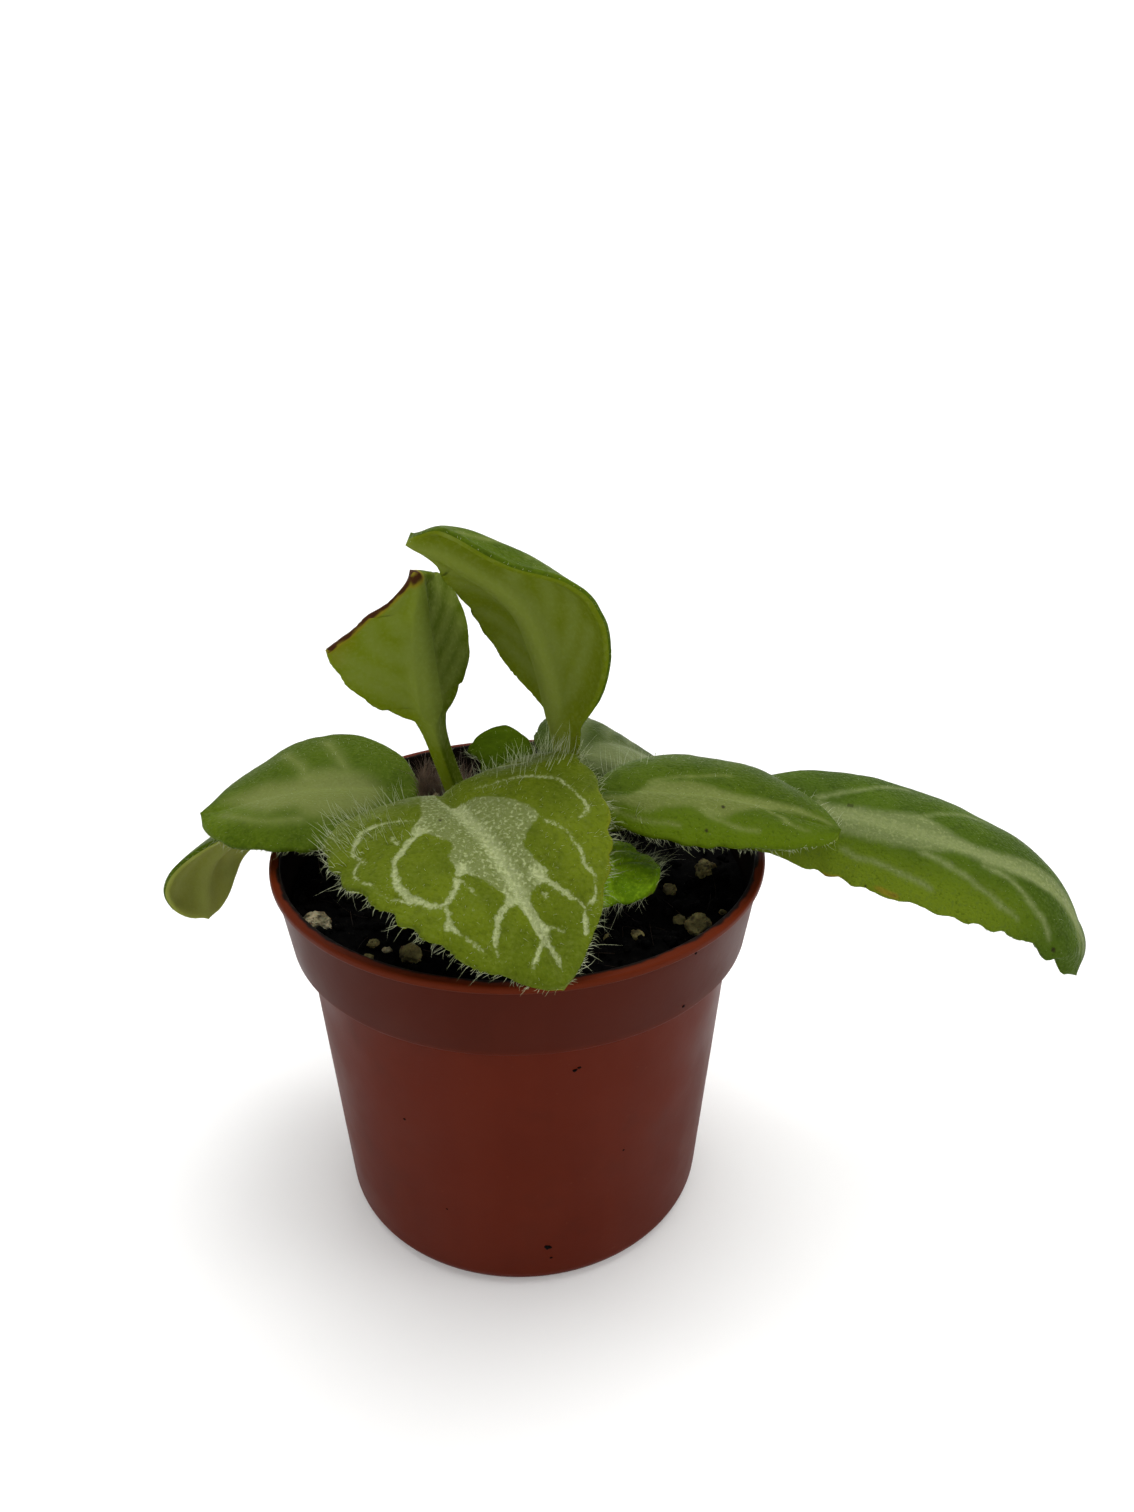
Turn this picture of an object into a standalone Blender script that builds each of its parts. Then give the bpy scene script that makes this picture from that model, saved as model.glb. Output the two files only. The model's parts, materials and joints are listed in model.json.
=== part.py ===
"""A small potted primulina: a nursery pot, potting mix with perlite, and a rosette of hairy leaves."""

from dataclasses import dataclass
from math import cos, exp, pi, radians, sin

import bmesh
import bpy
import numpy as np
from mathutils import Matrix, Vector, noise

MM = 0.001  # every size below is in millimetres, and the meshes are in metres
GAP = 0.3  # clearance between two pieces that touch

# Pot
POT_HEIGHT = 49.4
RIM_RADIUS = 30.0
LIP_HEIGHT = 0.9
LIP_ROUND = 0.35
WALL = 0.8
INNER_STEP_RISE = 0.6
COLLAR_HEIGHT = 10.1
COLLAR_TOP_RADIUS = 29.5
COLLAR_FOOT_RADIUS = 28.2
STEP_DROP = 1.0
BODY_TOP_RADIUS = 26.4
BODY_FOOT_RADIUS = 23.7
FOOT_ROUND = 2.3
FLOOR = 1.2
POT_SIDES = 48
DRAIN_HOLES = 8
DRAIN_RADIUS = 2.4
DRAIN_CIRCLE = 15.5
DRAIN_SIDES = 12
DRAIN_DEPTH = 6.0

# Potting mix
SOIL_LEVEL = 44.3
SOIL_ROUGHNESS = 0.9
SOIL_LUMP = 4.0
SOIL_HILL = 0.8
SOIL_HILL_SIZE = 9.5
SOIL_EDGE = 3.0
SOIL_TOP_RADIUS = COLLAR_TOP_RADIUS - WALL - GAP - 0.7
SOIL_SIDES = 40
SOIL_RINGS = 9

# Perlite grains
GRAIN_LUMPS = 0.34
GRAIN_LUMP_SIZE = 2.3
GRAIN_SHAPE = (1.0, 0.8, 0.75)
GRAIN_RISE = 0.12
COARSE_GRAIN = 2.0
POCKET_GAP = GAP + 0.05

# Crown, the short stem that the leaves grow from
CROWN_X = -3.0
CROWN_Y = 1.4
CROWN_RADIUS = 6.0
CROWN_ROUND = 5.0
CROWN_TOP = 53.4
CROWN_FOOT = 38.0
CROWN_FOOT_RADIUS = 3.6
CROWN_SIDES = 24
BUD_PLACE = (-8.9, -0.9, 52.4)
BUD_RADIUS = 2.0
BUD_HEIGHT = 3.9
BUD_LEAN = -12

# Leaves
BLADE_THICKNESS = 0.9
STALK_THICKNESS = 2.6
TIP_HALF_WIDTH = 0.45
SOCKET_RADIUS = 2.5
SOCKET_LENGTH = 9.0
STATIONS_PER_TOOTH = 4
STALK_STATIONS = 5
FIRST_ROW = 0.015
LAST_ROW = 0.94
TIP_ROWS = [0.965, 0.985]
TIP_END = 0.05
TOOTH_SEARCH = 2001
ACROSS = 6
LOBE_SHARE = 0.22
LOBE_RUN = 10.0
SPREAD_RUN = 4.0
KEEL_FADE = 0.85
FLARE_RUN = 1.5
ROLL_FROM = 0.5
ROLL_START = (0.45, 0.75)
ROLL_END = (0.8, 1.0)
TOOTH_LEAN = 1.4
TOOTH_UNEVEN = 0.25
FULL_TOOTH = 7.0


@dataclass
class Leaf:
    """One leaf, in mm and degrees. A pair gives the left half, then the right half."""

    name: str
    spine: list  # points along the stalk and the midrib, the first one inside the crown
    stalk: float  # length of the stalk before the blade starts
    half: tuple  # widest measure of each half of the blade, laid flat
    face: tuple  # where the upper face looks at the blade's foot
    face_tip: tuple  # where it looks at the tip
    widest: float = 0.45  # share of the blade's length where it is widest
    foot_taper: float = 0.7  # less is a fuller foot, more is a wedge
    shoulder: tuple = (2.0, 2.0)  # 1 runs straight to the tip, more keeps the width longer
    tip_taper: tuple = (0.6, 0.6)  # less is a round tip, more is a pointed one
    lift: tuple = (8, 8)  # angle at which each half leaves the midrib
    curl: tuple = (40, 40)  # angle that each half then bends down by its margin
    lobe: tuple = (0.0, 0.0)  # how far the foot's lobes reach back
    stalk_half: float = 1.6  # half of the stalk's width
    flare: float = 0.8  # how much wider the stalk gets where it runs into the blade
    roll: tuple = (0.0, 0.0)  # share of each half that rolls under by the margin near the tip
    teeth: int = 7
    tooth: tuple = (0.4, 0.4)  # depth of the notches between the teeth
    wave: float = 0.1  # height of the margin's waves


LEAVES = [
    Leaf(
        "leaf_front",
        [(-4.6, -3.0, 50.0), (-6.6, -5.4, 55.2), (-8.0, -9.4, 59.9),
         (-7.0, -13.2, 61.4), (-0.9, -22.9, 60.0), (5.7, -33.3, 51.9)],
        stalk=11.3, half=(15.4, 14.9), face=(-0.27, -0.37, 0.89), face_tip=(0.05, -0.61, 0.79),
        widest=0.31, foot_taper=0.50, shoulder=(1.6, 1.8), tip_taper=(0.79, 0.72),
        lift=(3, 29), curl=(33, 29), lobe=(3.2, 4.1), flare=0.0, teeth=9, tooth=(0.5, 0.7), wave=0.25,
    ),
    Leaf(
        "leaf_left",
        [(-7.8, 3.4, 50.2), (-11.8, 3.3, 54.2), (-25.6, 1.3, 55.6), (-38.8, 0.3, 52.5)],
        stalk=6.8, half=(10.1, 11.5), face=(-0.03, -0.34, 0.94), face_tip=(-0.32, -0.13, 0.94),
        foot_taper=0.54, shoulder=(2.0, 1.65), tip_taper=(0.53, 0.60), lift=(17, 13), curl=(46, 32),
        tooth=(0.3, 0.1),
    ),
    Leaf(
        "leaf_low_left",
        [(-7.0, 6.3, 47.4), (-15.0, 8.6, 51.4), (-26.3, 9.2, 53.4),
         (-41.2, 9.0, 42.6), (-43.2, 7.7, 33.2)],
        stalk=12.0, half=(8.6, 6.3), face=(0.1, 0.05, 1.0), face_tip=(-0.58, 0.66, 0.45),
        widest=0.58, foot_taper=0.70, shoulder=(2.2, 2.1), tip_taper=(0.50, 0.50),
        lift=(2, 12), curl=(31, 37), tooth=(0.1, 0.1), wave=0.0,
    ),
    Leaf(
        "leaf_upright_left",
        [(-6.0, 0.6, 51.5), (-7.9, 0.1, 57.5), (-9.9, -0.9, 65.9), (-10.7, -1.3, 74.1), (-10.9, -1.8, 83.9)],
        stalk=15.2, half=(8.6, 10.0), face=(-0.25, 0.96, 0.0), face_tip=(-0.70, 0.71, 0.1),
        widest=0.54, foot_taper=0.62, shoulder=(1.87, 1.0), tip_taper=(0.70, 1.1),
        lift=(36, 25), curl=(7, 3), stalk_half=1.25, flare=0.6, teeth=5, tooth=(0.2, 0.35),
    ),
    Leaf(
        "leaf_upright_right",
        [(2.5, 1.8, 51.0), (5.3, 1.3, 56.9), (6.3, -1.2, 64.3),
         (2.0, -1.8, 78.8), (-4.9, -4.6, 85.7), (-10.6, -5.0, 88.5)],
        stalk=15.5, half=(10.0, 8.5), face=(0.73, 0.52, -0.43), face_tip=(0.16, 0.58, 0.80),
        widest=0.42, foot_taper=0.78, shoulder=(3.8, 1.6), tip_taper=(0.80, 0.80),
        lift=(36, 26), curl=(60, 48), stalk_half=1.9, roll=(0.25, 0.0), tooth=(0.1, 0.35),
    ),
    Leaf(
        "leaf_right",
        [(1.7, -2.0, 49.8), (5.8, -4.2, 54.4), (10.7, -6.0, 59.0), (24.8, -7.4, 58.8), (36.6, -10.6, 56.2)],
        stalk=10.9, half=(10.3, 7.9), face=(-0.07, -0.15, 0.99), face_tip=(0.21, -0.15, 0.97),
        foot_taper=0.62, shoulder=(2.0, 1.9), lift=(13, 20), curl=(43, 65), tooth=(0.1, 0.3),
    ),
    Leaf(
        "leaf_far_right",
        [(2.3, 2.4, 48.0), (12.0, 2.2, 51.2), (24.0, 0.2, 53.6),
         (38.8, -4.0, 55.0), (58.5, -9.7, 50.4), (64.9, -12.3, 43.6), (65.0, -13.0, 38.6)],
        stalk=20.8, half=(9.5, 8.6), face=(-0.15, -0.56, 0.82), face_tip=(0.57, -0.38, 0.72),
        widest=0.52, foot_taper=0.58, shoulder=(1.7, 2.3), tip_taper=(0.60, 0.56),
        lift=(2, 0), curl=(46, 52), teeth=12, tooth=(0.1, 0.7),
    ),
    Leaf(
        "leaf_back",
        [(-3.3, 6.0, 50.2), (-3.2, 9.0, 54.8), (-2.0, 16.0, 56.1), (-3.0, 29.0, 51.6)],
        stalk=6.0, half=(6.2, 4.9), face=(-0.09, 0.0, 1.0), face_tip=(0.14, 0.41, 0.90),
        lift=(3, -2), curl=(57, 76), teeth=6, tooth=(0.4, 0.4),
    ),
    Leaf(
        "leaf_back_right",
        [(0.2, 5.0, 49.4), (3.4, 9.0, 54.0), (10.9, 13.8, 56.3), (21.0, 18.2, 50.0)],
        stalk=8.0, half=(11.0, 9.5), face=(0.04, -0.27, 0.96), face_tip=(0.21, 0.22, 0.95),
        foot_taper=0.50, lift=(12, 8), curl=(39, 40), teeth=6, tooth=(0.4, 0.4),
    ),
    Leaf(
        "leaf_small",
        [(-0.4, -3.6, 47.2), (3.4, -6.8, 49.8), (10.3, -9.6, 51.3), (15.6, -12.9, 50.4)],
        stalk=6.0, half=(5.9, 5.9), face=(0.28, -0.25, 0.93), face_tip=(0.10, -0.52, 0.85),
        tip_taper=(0.45, 0.60), lift=(3, 8), curl=(42, 40), stalk_half=1.3, teeth=5, tooth=(0.5, 0.8),
    ),
]

# Perlite: where each grain lies on the mix, and how wide it is, by what the front of the pot shows
PERLITE = [
    (-22.9, -11.5, 3.6), (-15.9, -18.8, 1.6), (-15.9, -15.3, 1.4), (-14.0, -17.2, 1.1), (-11.2, -18.6, 3.0),
    (10.6, -14.2, 1.2), (13.9, -14.6, 1.5), (19.1, -10.6, 1.7), (20.9, -12.6, 3.4), (24.3, -8.8, 0.9),
    (18.4, -4.5, 1.8), (23.3, 0.6, 3.0), (8.0, 20.6, 2.6), (-9.5, 21.0, 3.0), (-17.5, 14.8, 1.8),
]


def srgb(red, green, blue):
    """A colour as read on a screen, 0 to 255, as the linear values that a shader takes."""
    def linear(value):
        share = value / 255
        return share / 12.92 if share <= 0.04045 else ((share + 0.055) / 1.055) ** 2.4
    return (linear(red), linear(green), linear(blue), 1.0)


def material(name, colour, roughness):
    """A plain finish of one colour."""
    made = bpy.data.materials.new(name)
    made.use_nodes = True
    shader = made.node_tree.nodes["Principled BSDF"]
    shader.inputs["Base Color"].default_value = colour
    shader.inputs["Roughness"].default_value = roughness
    shader.inputs["Metallic"].default_value = 0.0
    made.diffuse_color = colour
    return made


def add_object(name, mesh, collection, finish=None):
    made = bpy.data.objects.new(name, mesh)
    collection.objects.link(made)
    if finish is not None:
        mesh.materials.append(finish)
    return made


def mesh_from(bm, name):
    mesh = bpy.data.meshes.new(name)
    bm.to_mesh(mesh)
    bm.free()
    mesh.shade_smooth()
    mesh.set_sharp_from_angle(angle=radians(40))
    return mesh


def turned(name, profile, sides, collection, finish=None):
    """A turned solid. The profile is a list of (radius, height) in mm that starts and ends on the axis."""
    bm = bmesh.new()
    points = [bm.verts.new((radius * MM, 0, height * MM)) for radius, height in profile]
    for one, other in zip(points, points[1:]):
        bm.edges.new((one, other))
    made = add_object(name, mesh_from(bm, name), collection, finish)
    screw = made.modifiers.new("turn", "SCREW")
    screw.steps = screw.render_steps = sides
    screw.use_merge_vertices = True
    screw.merge_threshold = 0.00001
    return made


def baked(made):
    """Replaces the object's mesh by its evaluated one, so that its modifiers are applied."""
    bpy.context.view_layer.update()
    graph = bpy.context.evaluated_depsgraph_get()
    mesh = bpy.data.meshes.new_from_object(made.evaluated_get(graph))
    made.modifiers.clear()
    made.data = mesh
    return made


def combine(made, others, operation):
    """Cuts the solids of a collection out of the object, or joins them to it, and applies that."""
    step = made.modifiers.new(operation.lower(), "BOOLEAN")
    step.operation = operation
    step.operand_type = "COLLECTION"
    step.collection = others
    baked(made)


def cut(made, others):
    combine(made, others, "DIFFERENCE")


def join(made, others):
    combine(made, others, "UNION")


def cutter_collection(name):
    """A collection for cutters, which a render leaves out."""
    made = bpy.data.collections.new(name)
    bpy.context.scene.collection.children.link(made)
    made.hide_render = True
    return made


def hide(made):
    made.hide_render = True
    made.display_type = "WIRE"
    return made


def arc(centre_radius, centre_height, size, start, end, steps):
    """Points of a round corner in a profile, with angles in degrees from the outward radius."""
    return [
        (centre_radius + size * cos(radians(start + (end - start) * step / steps)),
         centre_height + size * sin(radians(start + (end - start) * step / steps)))
        for step in range(steps + 1)
    ]


def pot_profile():
    """Half of the pot's section: up the inside, over the lip and down the outside."""
    step_top = POT_HEIGHT - COLLAR_HEIGHT
    step_foot = step_top - STEP_DROP
    inside = [
        (0.0, FLOOR),
        (BODY_FOOT_RADIUS - FOOT_ROUND, FLOOR),
        (BODY_FOOT_RADIUS - WALL, FOOT_ROUND),
        (BODY_TOP_RADIUS - WALL, step_foot + INNER_STEP_RISE),
        (COLLAR_FOOT_RADIUS - WALL, step_top + INNER_STEP_RISE),
        (COLLAR_TOP_RADIUS - WALL, POT_HEIGHT),
    ]
    lip = arc(RIM_RADIUS - LIP_ROUND, POT_HEIGHT - LIP_ROUND, LIP_ROUND, 90, 0, 2)
    outside = [
        (RIM_RADIUS, POT_HEIGHT - LIP_HEIGHT),
        (COLLAR_TOP_RADIUS, POT_HEIGHT - LIP_HEIGHT - 0.2),
        (COLLAR_FOOT_RADIUS, step_top),
        (BODY_TOP_RADIUS, step_foot),
    ]
    foot = arc(BODY_FOOT_RADIUS - FOOT_ROUND, FOOT_ROUND, FOOT_ROUND, 0, -90, 3)
    return inside + lip + outside + foot + [(0.0, 0.0)]


def build_pot(collection, cutters):
    finish = material("pot plastic", srgb(128, 52, 34), 0.45)
    pot = baked(turned("pot", pot_profile(), POT_SIDES, collection, finish))
    for index in range(DRAIN_HOLES):
        angle = 2 * pi * index / DRAIN_HOLES
        bm = bmesh.new()
        bmesh.ops.create_cone(
            bm, cap_ends=True, segments=DRAIN_SIDES,
            radius1=DRAIN_RADIUS * MM, radius2=DRAIN_RADIUS * MM, depth=DRAIN_DEPTH * MM,
        )
        hole = hide(add_object(f"drain_hole_{index + 1}", mesh_from(bm, "drain hole"), cutters))
        hole.location = (DRAIN_CIRCLE * cos(angle) * MM, DRAIN_CIRCLE * sin(angle) * MM, 0)
    cut(pot, cutters)


def smooth_path(points, steps=30):
    """A Catmull-Rom curve through the points."""
    given = [np.array(point, float) for point in points]
    ends = [2 * given[0] - given[1]] + given + [2 * given[-1] - given[-2]]
    path = []
    for one, two, three, four in zip(ends, ends[1:], ends[2:], ends[3:]):
        for step in range(steps):
            t = step / steps
            path.append(0.5 * (2 * two + (three - one) * t + (2 * one - 5 * two + 4 * three - four) * t ** 2
                               + (3 * two - one - 3 * three + four) * t ** 3))
    return np.array(path + [given[-1]])


class Spine:
    """A leaf's spine, read by the distance along it, with the directions ahead, up and to the right."""

    def __init__(self, leaf):
        self.path = smooth_path(leaf.spine)
        runs = np.linalg.norm(np.diff(self.path, axis=0), axis=1)
        self.distance = np.concatenate([[0.0], np.cumsum(runs)])
        self.length = self.distance[-1]
        self.ahead = unit(np.gradient(self.path, self.distance, axis=0))
        share = np.clip((self.distance - leaf.stalk) / (self.length - leaf.stalk), 0, 1)[:, None]
        face = (1 - share) * np.array(leaf.face, float) + share * np.array(leaf.face_tip, float)
        self.up = unit(face - self.ahead * np.sum(face * self.ahead, axis=1)[:, None])
        for index in range(np.searchsorted(self.distance, leaf.stalk), -1, -1):
            carried = self.up[index + 1]
            self.up[index] = unit(carried - self.ahead[index] * carried.dot(self.ahead[index]))

    def read(self, values, along):
        return np.array([np.interp(along, self.distance, values[:, axis]) for axis in range(3)])

    def point(self, along):
        return self.read(self.path, along)

    def frame(self, along):
        ahead = unit(self.read(self.ahead, along))
        up = self.read(self.up, along)
        up = unit(up - ahead * up.dot(ahead))
        return ahead, up, np.cross(ahead, up)


def unit(vectors):
    return vectors / np.linalg.norm(vectors, axis=-1, keepdims=True)


def blade_share(leaf, spine, along):
    return (along - leaf.stalk) / (spine.length - leaf.stalk)


def outline(leaf, share, half):
    """The blade's width at a share of its length, as a part of the widest, for one half."""
    if share <= 0 or share >= 1:
        return 0.0
    if share < leaf.widest:
        return (1 - ((leaf.widest - share) / leaf.widest) ** 2) ** leaf.foot_taper
    past = (share - leaf.widest) / (1 - leaf.widest)
    return (1 - past ** leaf.shoulder[half]) ** leaf.tip_taper[half]


def teeth_passed(leaf, share):
    """How many teeth lie before a share of the blade. They are uneven, as on a real margin."""
    return leaf.teeth * share + TOOTH_UNEVEN * sin(1.7 * leaf.teeth * share + leaf.teeth)


def half_width(leaf, spine, along, half):
    """Width of one half in mm, flared where the stalk meets the blade, with teeth that lean ahead."""
    share = blade_share(leaf, spine, along)
    held = min(max(share, 0.0), 1.0)
    blade = leaf.half[half] * outline(leaf, share, half)
    stalk = leaf.stalk_half + (TIP_HALF_WIDTH - leaf.stalk_half) * held
    stalk += leaf.flare * exp(-abs(along - leaf.stalk) / FLARE_RUN)
    notch = leaf.tooth[half] * (1 - sin(pi * (teeth_passed(leaf, held) % 1.0) ** TOOTH_LEAN))
    return (stalk ** 2 + blade ** 2) ** 0.5 - notch * min(1.0, blade / FULL_TOOTH)


def sweep(leaf, spine, along, half):
    """How far the margin is swept back at the blade's foot, which makes the lobes."""
    share = blade_share(leaf, spine, along)
    if share >= 0:
        return leaf.lobe[half] * exp(-(share / LOBE_SHARE) ** 2)
    return leaf.lobe[half] * max(0.0, 1 + (along - leaf.stalk) / LOBE_RUN)


def leaf_point(leaf, spine, along, across):
    """A point of the leaf's upper face. Across runs from -1 at the left margin to 1 at the right one."""
    half = 1 if across > 0 else 0
    reach = abs(across)
    share = min(max(blade_share(leaf, spine, along), 0.0), 1.0)
    width = half_width(leaf, spine, along, half)
    back = sweep(leaf, spine, along, half) * reach ** 2
    if along <= leaf.stalk:
        along, back = along - back, 0.0
    ahead, up, right = spine.frame(along)
    spread = min(max((width - leaf.stalk_half) / SPREAD_RUN, 0.0), 1.0)
    lift = radians(leaf.lift[half]) * spread
    curl = max(radians(leaf.curl[half]) * spread, 0.001)
    out = (sin(lift) - sin(lift - curl * reach)) / curl * width
    rise = (cos(lift - curl * reach) - cos(lift)) / curl * width
    rise += leaf.wave * spread * reach ** 2 * sin(pi * leaf.teeth * share + half)
    rolled = leaf.roll[half] * width * smooth_step(ROLL_FROM, 1.0, reach)
    rolled *= smooth_step(*ROLL_START, share) - smooth_step(*ROLL_END, share)
    rise -= rolled
    out -= rolled * 0.5
    return spine.point(along) + right * out * (1 if half else -1) + up * rise - ahead * back


def smooth_step(low, high, value):
    t = min(max((value - low) / (high - low), 0.0), 1.0)
    return t * t * (3 - 2 * t)


def thickness(leaf, spine, along, across):
    """The leaf's thickness, greatest along the stalk and the midrib's keel."""
    share = min(max(blade_share(leaf, spine, along), 0.0), 1.0)
    off_keel = abs(across) * half_width(leaf, spine, along, 1 if across > 0 else 0) / (0.75 * leaf.stalk_half)
    keel = exp(-off_keel ** 2) * (1 - KEEL_FADE * share)
    return BLADE_THICKNESS + (STALK_THICKNESS - BLADE_THICKNESS) * keel


def stations(leaf, spine):
    """Distances along the spine where the leaf has a row of points."""
    stalk = [leaf.stalk * step / STALK_STATIONS for step in range(STALK_STATIONS)]
    shares = np.linspace(0, 1, TOOTH_SEARCH)
    passed = np.array([teeth_passed(leaf, share) for share in shares])
    first, last = passed[0] * STATIONS_PER_TOOTH, passed[-1] * STATIONS_PER_TOOTH
    wanted = np.arange(np.ceil(first), last) / STATIONS_PER_TOOTH
    rows = [share for share in np.interp(wanted, passed, shares) if FIRST_ROW < share < LAST_ROW]
    blade = [leaf.stalk + (spine.length - leaf.stalk) * share for share in [0.0] + rows + TIP_ROWS]
    return stalk + blade + [spine.length - TIP_END]


def build_leaf(leaf, collection, finish):
    """The upper face is a bent grid, and Solidify gives it its thickness and its keel."""
    spine = Spine(leaf)
    rows = stations(leaf, spine)
    bm = bmesh.new()
    bmesh.ops.create_grid(bm, x_segments=len(rows) - 1, y_segments=ACROSS, size=1.0)
    flesh = bm.verts.layers.deform.new()
    for vert in bm.verts:
        along = rows[round((vert.co.x + 1) / 2 * (len(rows) - 1))]
        across = -round(vert.co.y * ACROSS / 2) / (ACROSS / 2)
        vert[flesh][0] = thickness(leaf, spine, along, across) / STALK_THICKNESS
        vert.co = Vector(leaf_point(leaf, spine, along, across)) * MM
    bmesh.ops.triangulate(bm, faces=bm.faces[:])
    made = add_object(leaf.name, mesh_from(bm, leaf.name), collection, finish)
    made.vertex_groups.new(name="flesh")
    body = made.modifiers.new("flesh", "SOLIDIFY")
    body.thickness = STALK_THICKNESS * MM
    body.offset = -1.0
    body.vertex_group = "flesh"
    return made


def soil_height(x, y):
    """The height of the mix at a place, lumpy, and a little higher around the crown."""
    lumps = noise.fractal(Vector((x / SOIL_LUMP, y / SOIL_LUMP, 3.7)), 1.0, 2.0, 3)
    hill = SOIL_HILL * exp(-((x - CROWN_X) ** 2 + (y - CROWN_Y) ** 2) / SOIL_HILL_SIZE ** 2)
    edge = min(1.0, max(0.0, (SOIL_TOP_RADIUS - (x * x + y * y) ** 0.5) / SOIL_EDGE))
    return SOIL_LEVEL + hill + SOIL_ROUGHNESS * lumps * (0.3 + 0.7 * edge)


def soil_profile():
    """The mix fills the pot to just under its collar, with a clearance all around."""
    step_top = POT_HEIGHT - COLLAR_HEIGHT
    top = [(SOIL_TOP_RADIUS * ring / SOIL_RINGS, SOIL_LEVEL) for ring in range(SOIL_RINGS + 1)]
    side = [
        (COLLAR_FOOT_RADIUS - WALL - GAP, step_top + INNER_STEP_RISE + GAP),
        (BODY_TOP_RADIUS - WALL - GAP, step_top - STEP_DROP + INNER_STEP_RISE),
        (BODY_FOOT_RADIUS - WALL - GAP, FOOT_ROUND + GAP),
        (BODY_FOOT_RADIUS - FOOT_ROUND - GAP, FLOOR + GAP),
    ]
    return top + side + [(0.0, FLOOR + GAP)]


def grain_mesh(size, seed, grow):
    """An angular grain, about as high as it is wide, swollen by a clearance where it is a cutter."""
    bm = bmesh.new()
    bmesh.ops.create_icosphere(bm, subdivisions=2 if size > COARSE_GRAIN else 1, radius=0.5)
    shape = Matrix.Diagonal(GRAIN_SHAPE)
    for vert in bm.verts:
        place = vert.co * GRAIN_LUMP_SIZE + Vector((seed * 1.7, seed * 3.1, 5.0))
        swell = 1 + GRAIN_LUMPS * noise.noise(place)
        away = vert.co.normalized()
        vert.co = shape @ away * (size / 2 * swell) + away * grow
    return bm


def build_perlite(collection, pockets):
    """White grains of perlite, half sunk in pockets of the mix."""
    finish = material("perlite", srgb(196, 184, 160), 0.9)
    for index, (x, y, size) in enumerate(PERLITE):
        place = Matrix.Translation(Vector((x, y, soil_height(x, y) + GRAIN_RISE * size)) * MM)
        turn = Matrix.Rotation(index * 2.1, 4, "Z")
        for grow, where in ((0.0, collection), (POCKET_GAP, pockets)):
            bm = grain_mesh(size, index, grow)
            bmesh.ops.transform(bm, matrix=place @ turn @ Matrix.Scale(MM, 4), verts=bm.verts)
            name = f"perlite_{index + 1}" if grow == 0.0 else f"pocket_{index + 1}"
            made = add_object(name, mesh_from(bm, name), where, finish if grow == 0.0 else None)
            if grow:
                hide(made)


def build_soil(collection, pockets):
    """The potting mix, with a plain hole that the crown stands in."""
    finish = material("potting mix", srgb(34, 27, 23), 0.95)
    soil = baked(turned("soil", soil_profile(), SOIL_SIDES, collection, finish))
    for vert in soil.data.vertices:
        if vert.co.z > (SOIL_LEVEL - 0.01) * MM:
            vert.co.z = soil_height(vert.co.x / MM, vert.co.y / MM) * MM
    hole = turned("crown_hole", crown_profile(GAP), CROWN_SIDES, pockets)
    hole.location = (CROWN_X * MM, CROWN_Y * MM, 0)
    hide(baked(hole))
    cut(soil, pockets)


def crown_profile(grow):
    """Half of the crown's section, swollen by a clearance where it is the hole in the mix."""
    shoulder = arc(0, CROWN_TOP - CROWN_ROUND, CROWN_ROUND, 90, 0, 5)
    profile = [(radius * CROWN_RADIUS / CROWN_ROUND, height) for radius, height in shoulder]
    profile += [(CROWN_RADIUS, SOIL_LEVEL - 1.0), (CROWN_FOOT_RADIUS, CROWN_FOOT)]
    wide = [(radius + grow if radius > 0.01 else 0.0, height) for radius, height in profile]
    wide[0] = (0.0, CROWN_TOP + grow)
    wide[-1] = (CROWN_FOOT_RADIUS + grow, CROWN_FOOT - grow)
    return wide + [(0.0, CROWN_FOOT - grow)]


def build_crown(collection, cutters):
    """The short stem with a young bud on its side, and a socket for each leaf's stalk."""
    finish = material("crown", srgb(74, 46, 38), 0.8)
    crown = turned("crown", crown_profile(0.0), CROWN_SIDES, collection, finish)
    crown.location = (CROWN_X * MM, CROWN_Y * MM, 0)
    baked(crown)
    bm = bmesh.new()
    bmesh.ops.create_uvsphere(bm, u_segments=12, v_segments=8, radius=1.0)
    size = Matrix.Diagonal((BUD_RADIUS, BUD_RADIUS, BUD_HEIGHT, 1.0))
    lean = Matrix.Rotation(radians(BUD_LEAN), 4, "Y")
    place = Matrix.Scale(MM, 4) @ Matrix.Translation(BUD_PLACE)
    bmesh.ops.transform(bm, matrix=place @ lean @ size, verts=bm.verts)
    buds = cutter_collection("bud")
    hide(add_object("bud", mesh_from(bm, "bud"), buds))
    join(crown, buds)
    for leaf in LEAVES:
        build_socket(leaf, cutters)
    cut(crown, cutters)


def build_socket(leaf, cutters):
    """The round hole in the crown that a leaf's stalk stands in."""
    spine = Spine(leaf)
    ahead, up, right = spine.frame(0.5)
    axis = Vector(ahead)
    start = Vector(spine.point(0.0)) - Vector(up) * STALK_THICKNESS / 2
    bm = bmesh.new()
    bmesh.ops.create_cone(
        bm, cap_ends=True, segments=10,
        radius1=SOCKET_RADIUS * MM, radius2=SOCKET_RADIUS * MM, depth=SOCKET_LENGTH * MM,
    )
    socket = hide(add_object(f"socket_{leaf.name}", mesh_from(bm, "socket"), cutters))
    socket.rotation_mode = "QUATERNION"
    socket.rotation_quaternion = axis.to_track_quat("Z", "Y")
    socket.location = (start + axis * (SOCKET_LENGTH / 2 - GAP)) * MM


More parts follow.
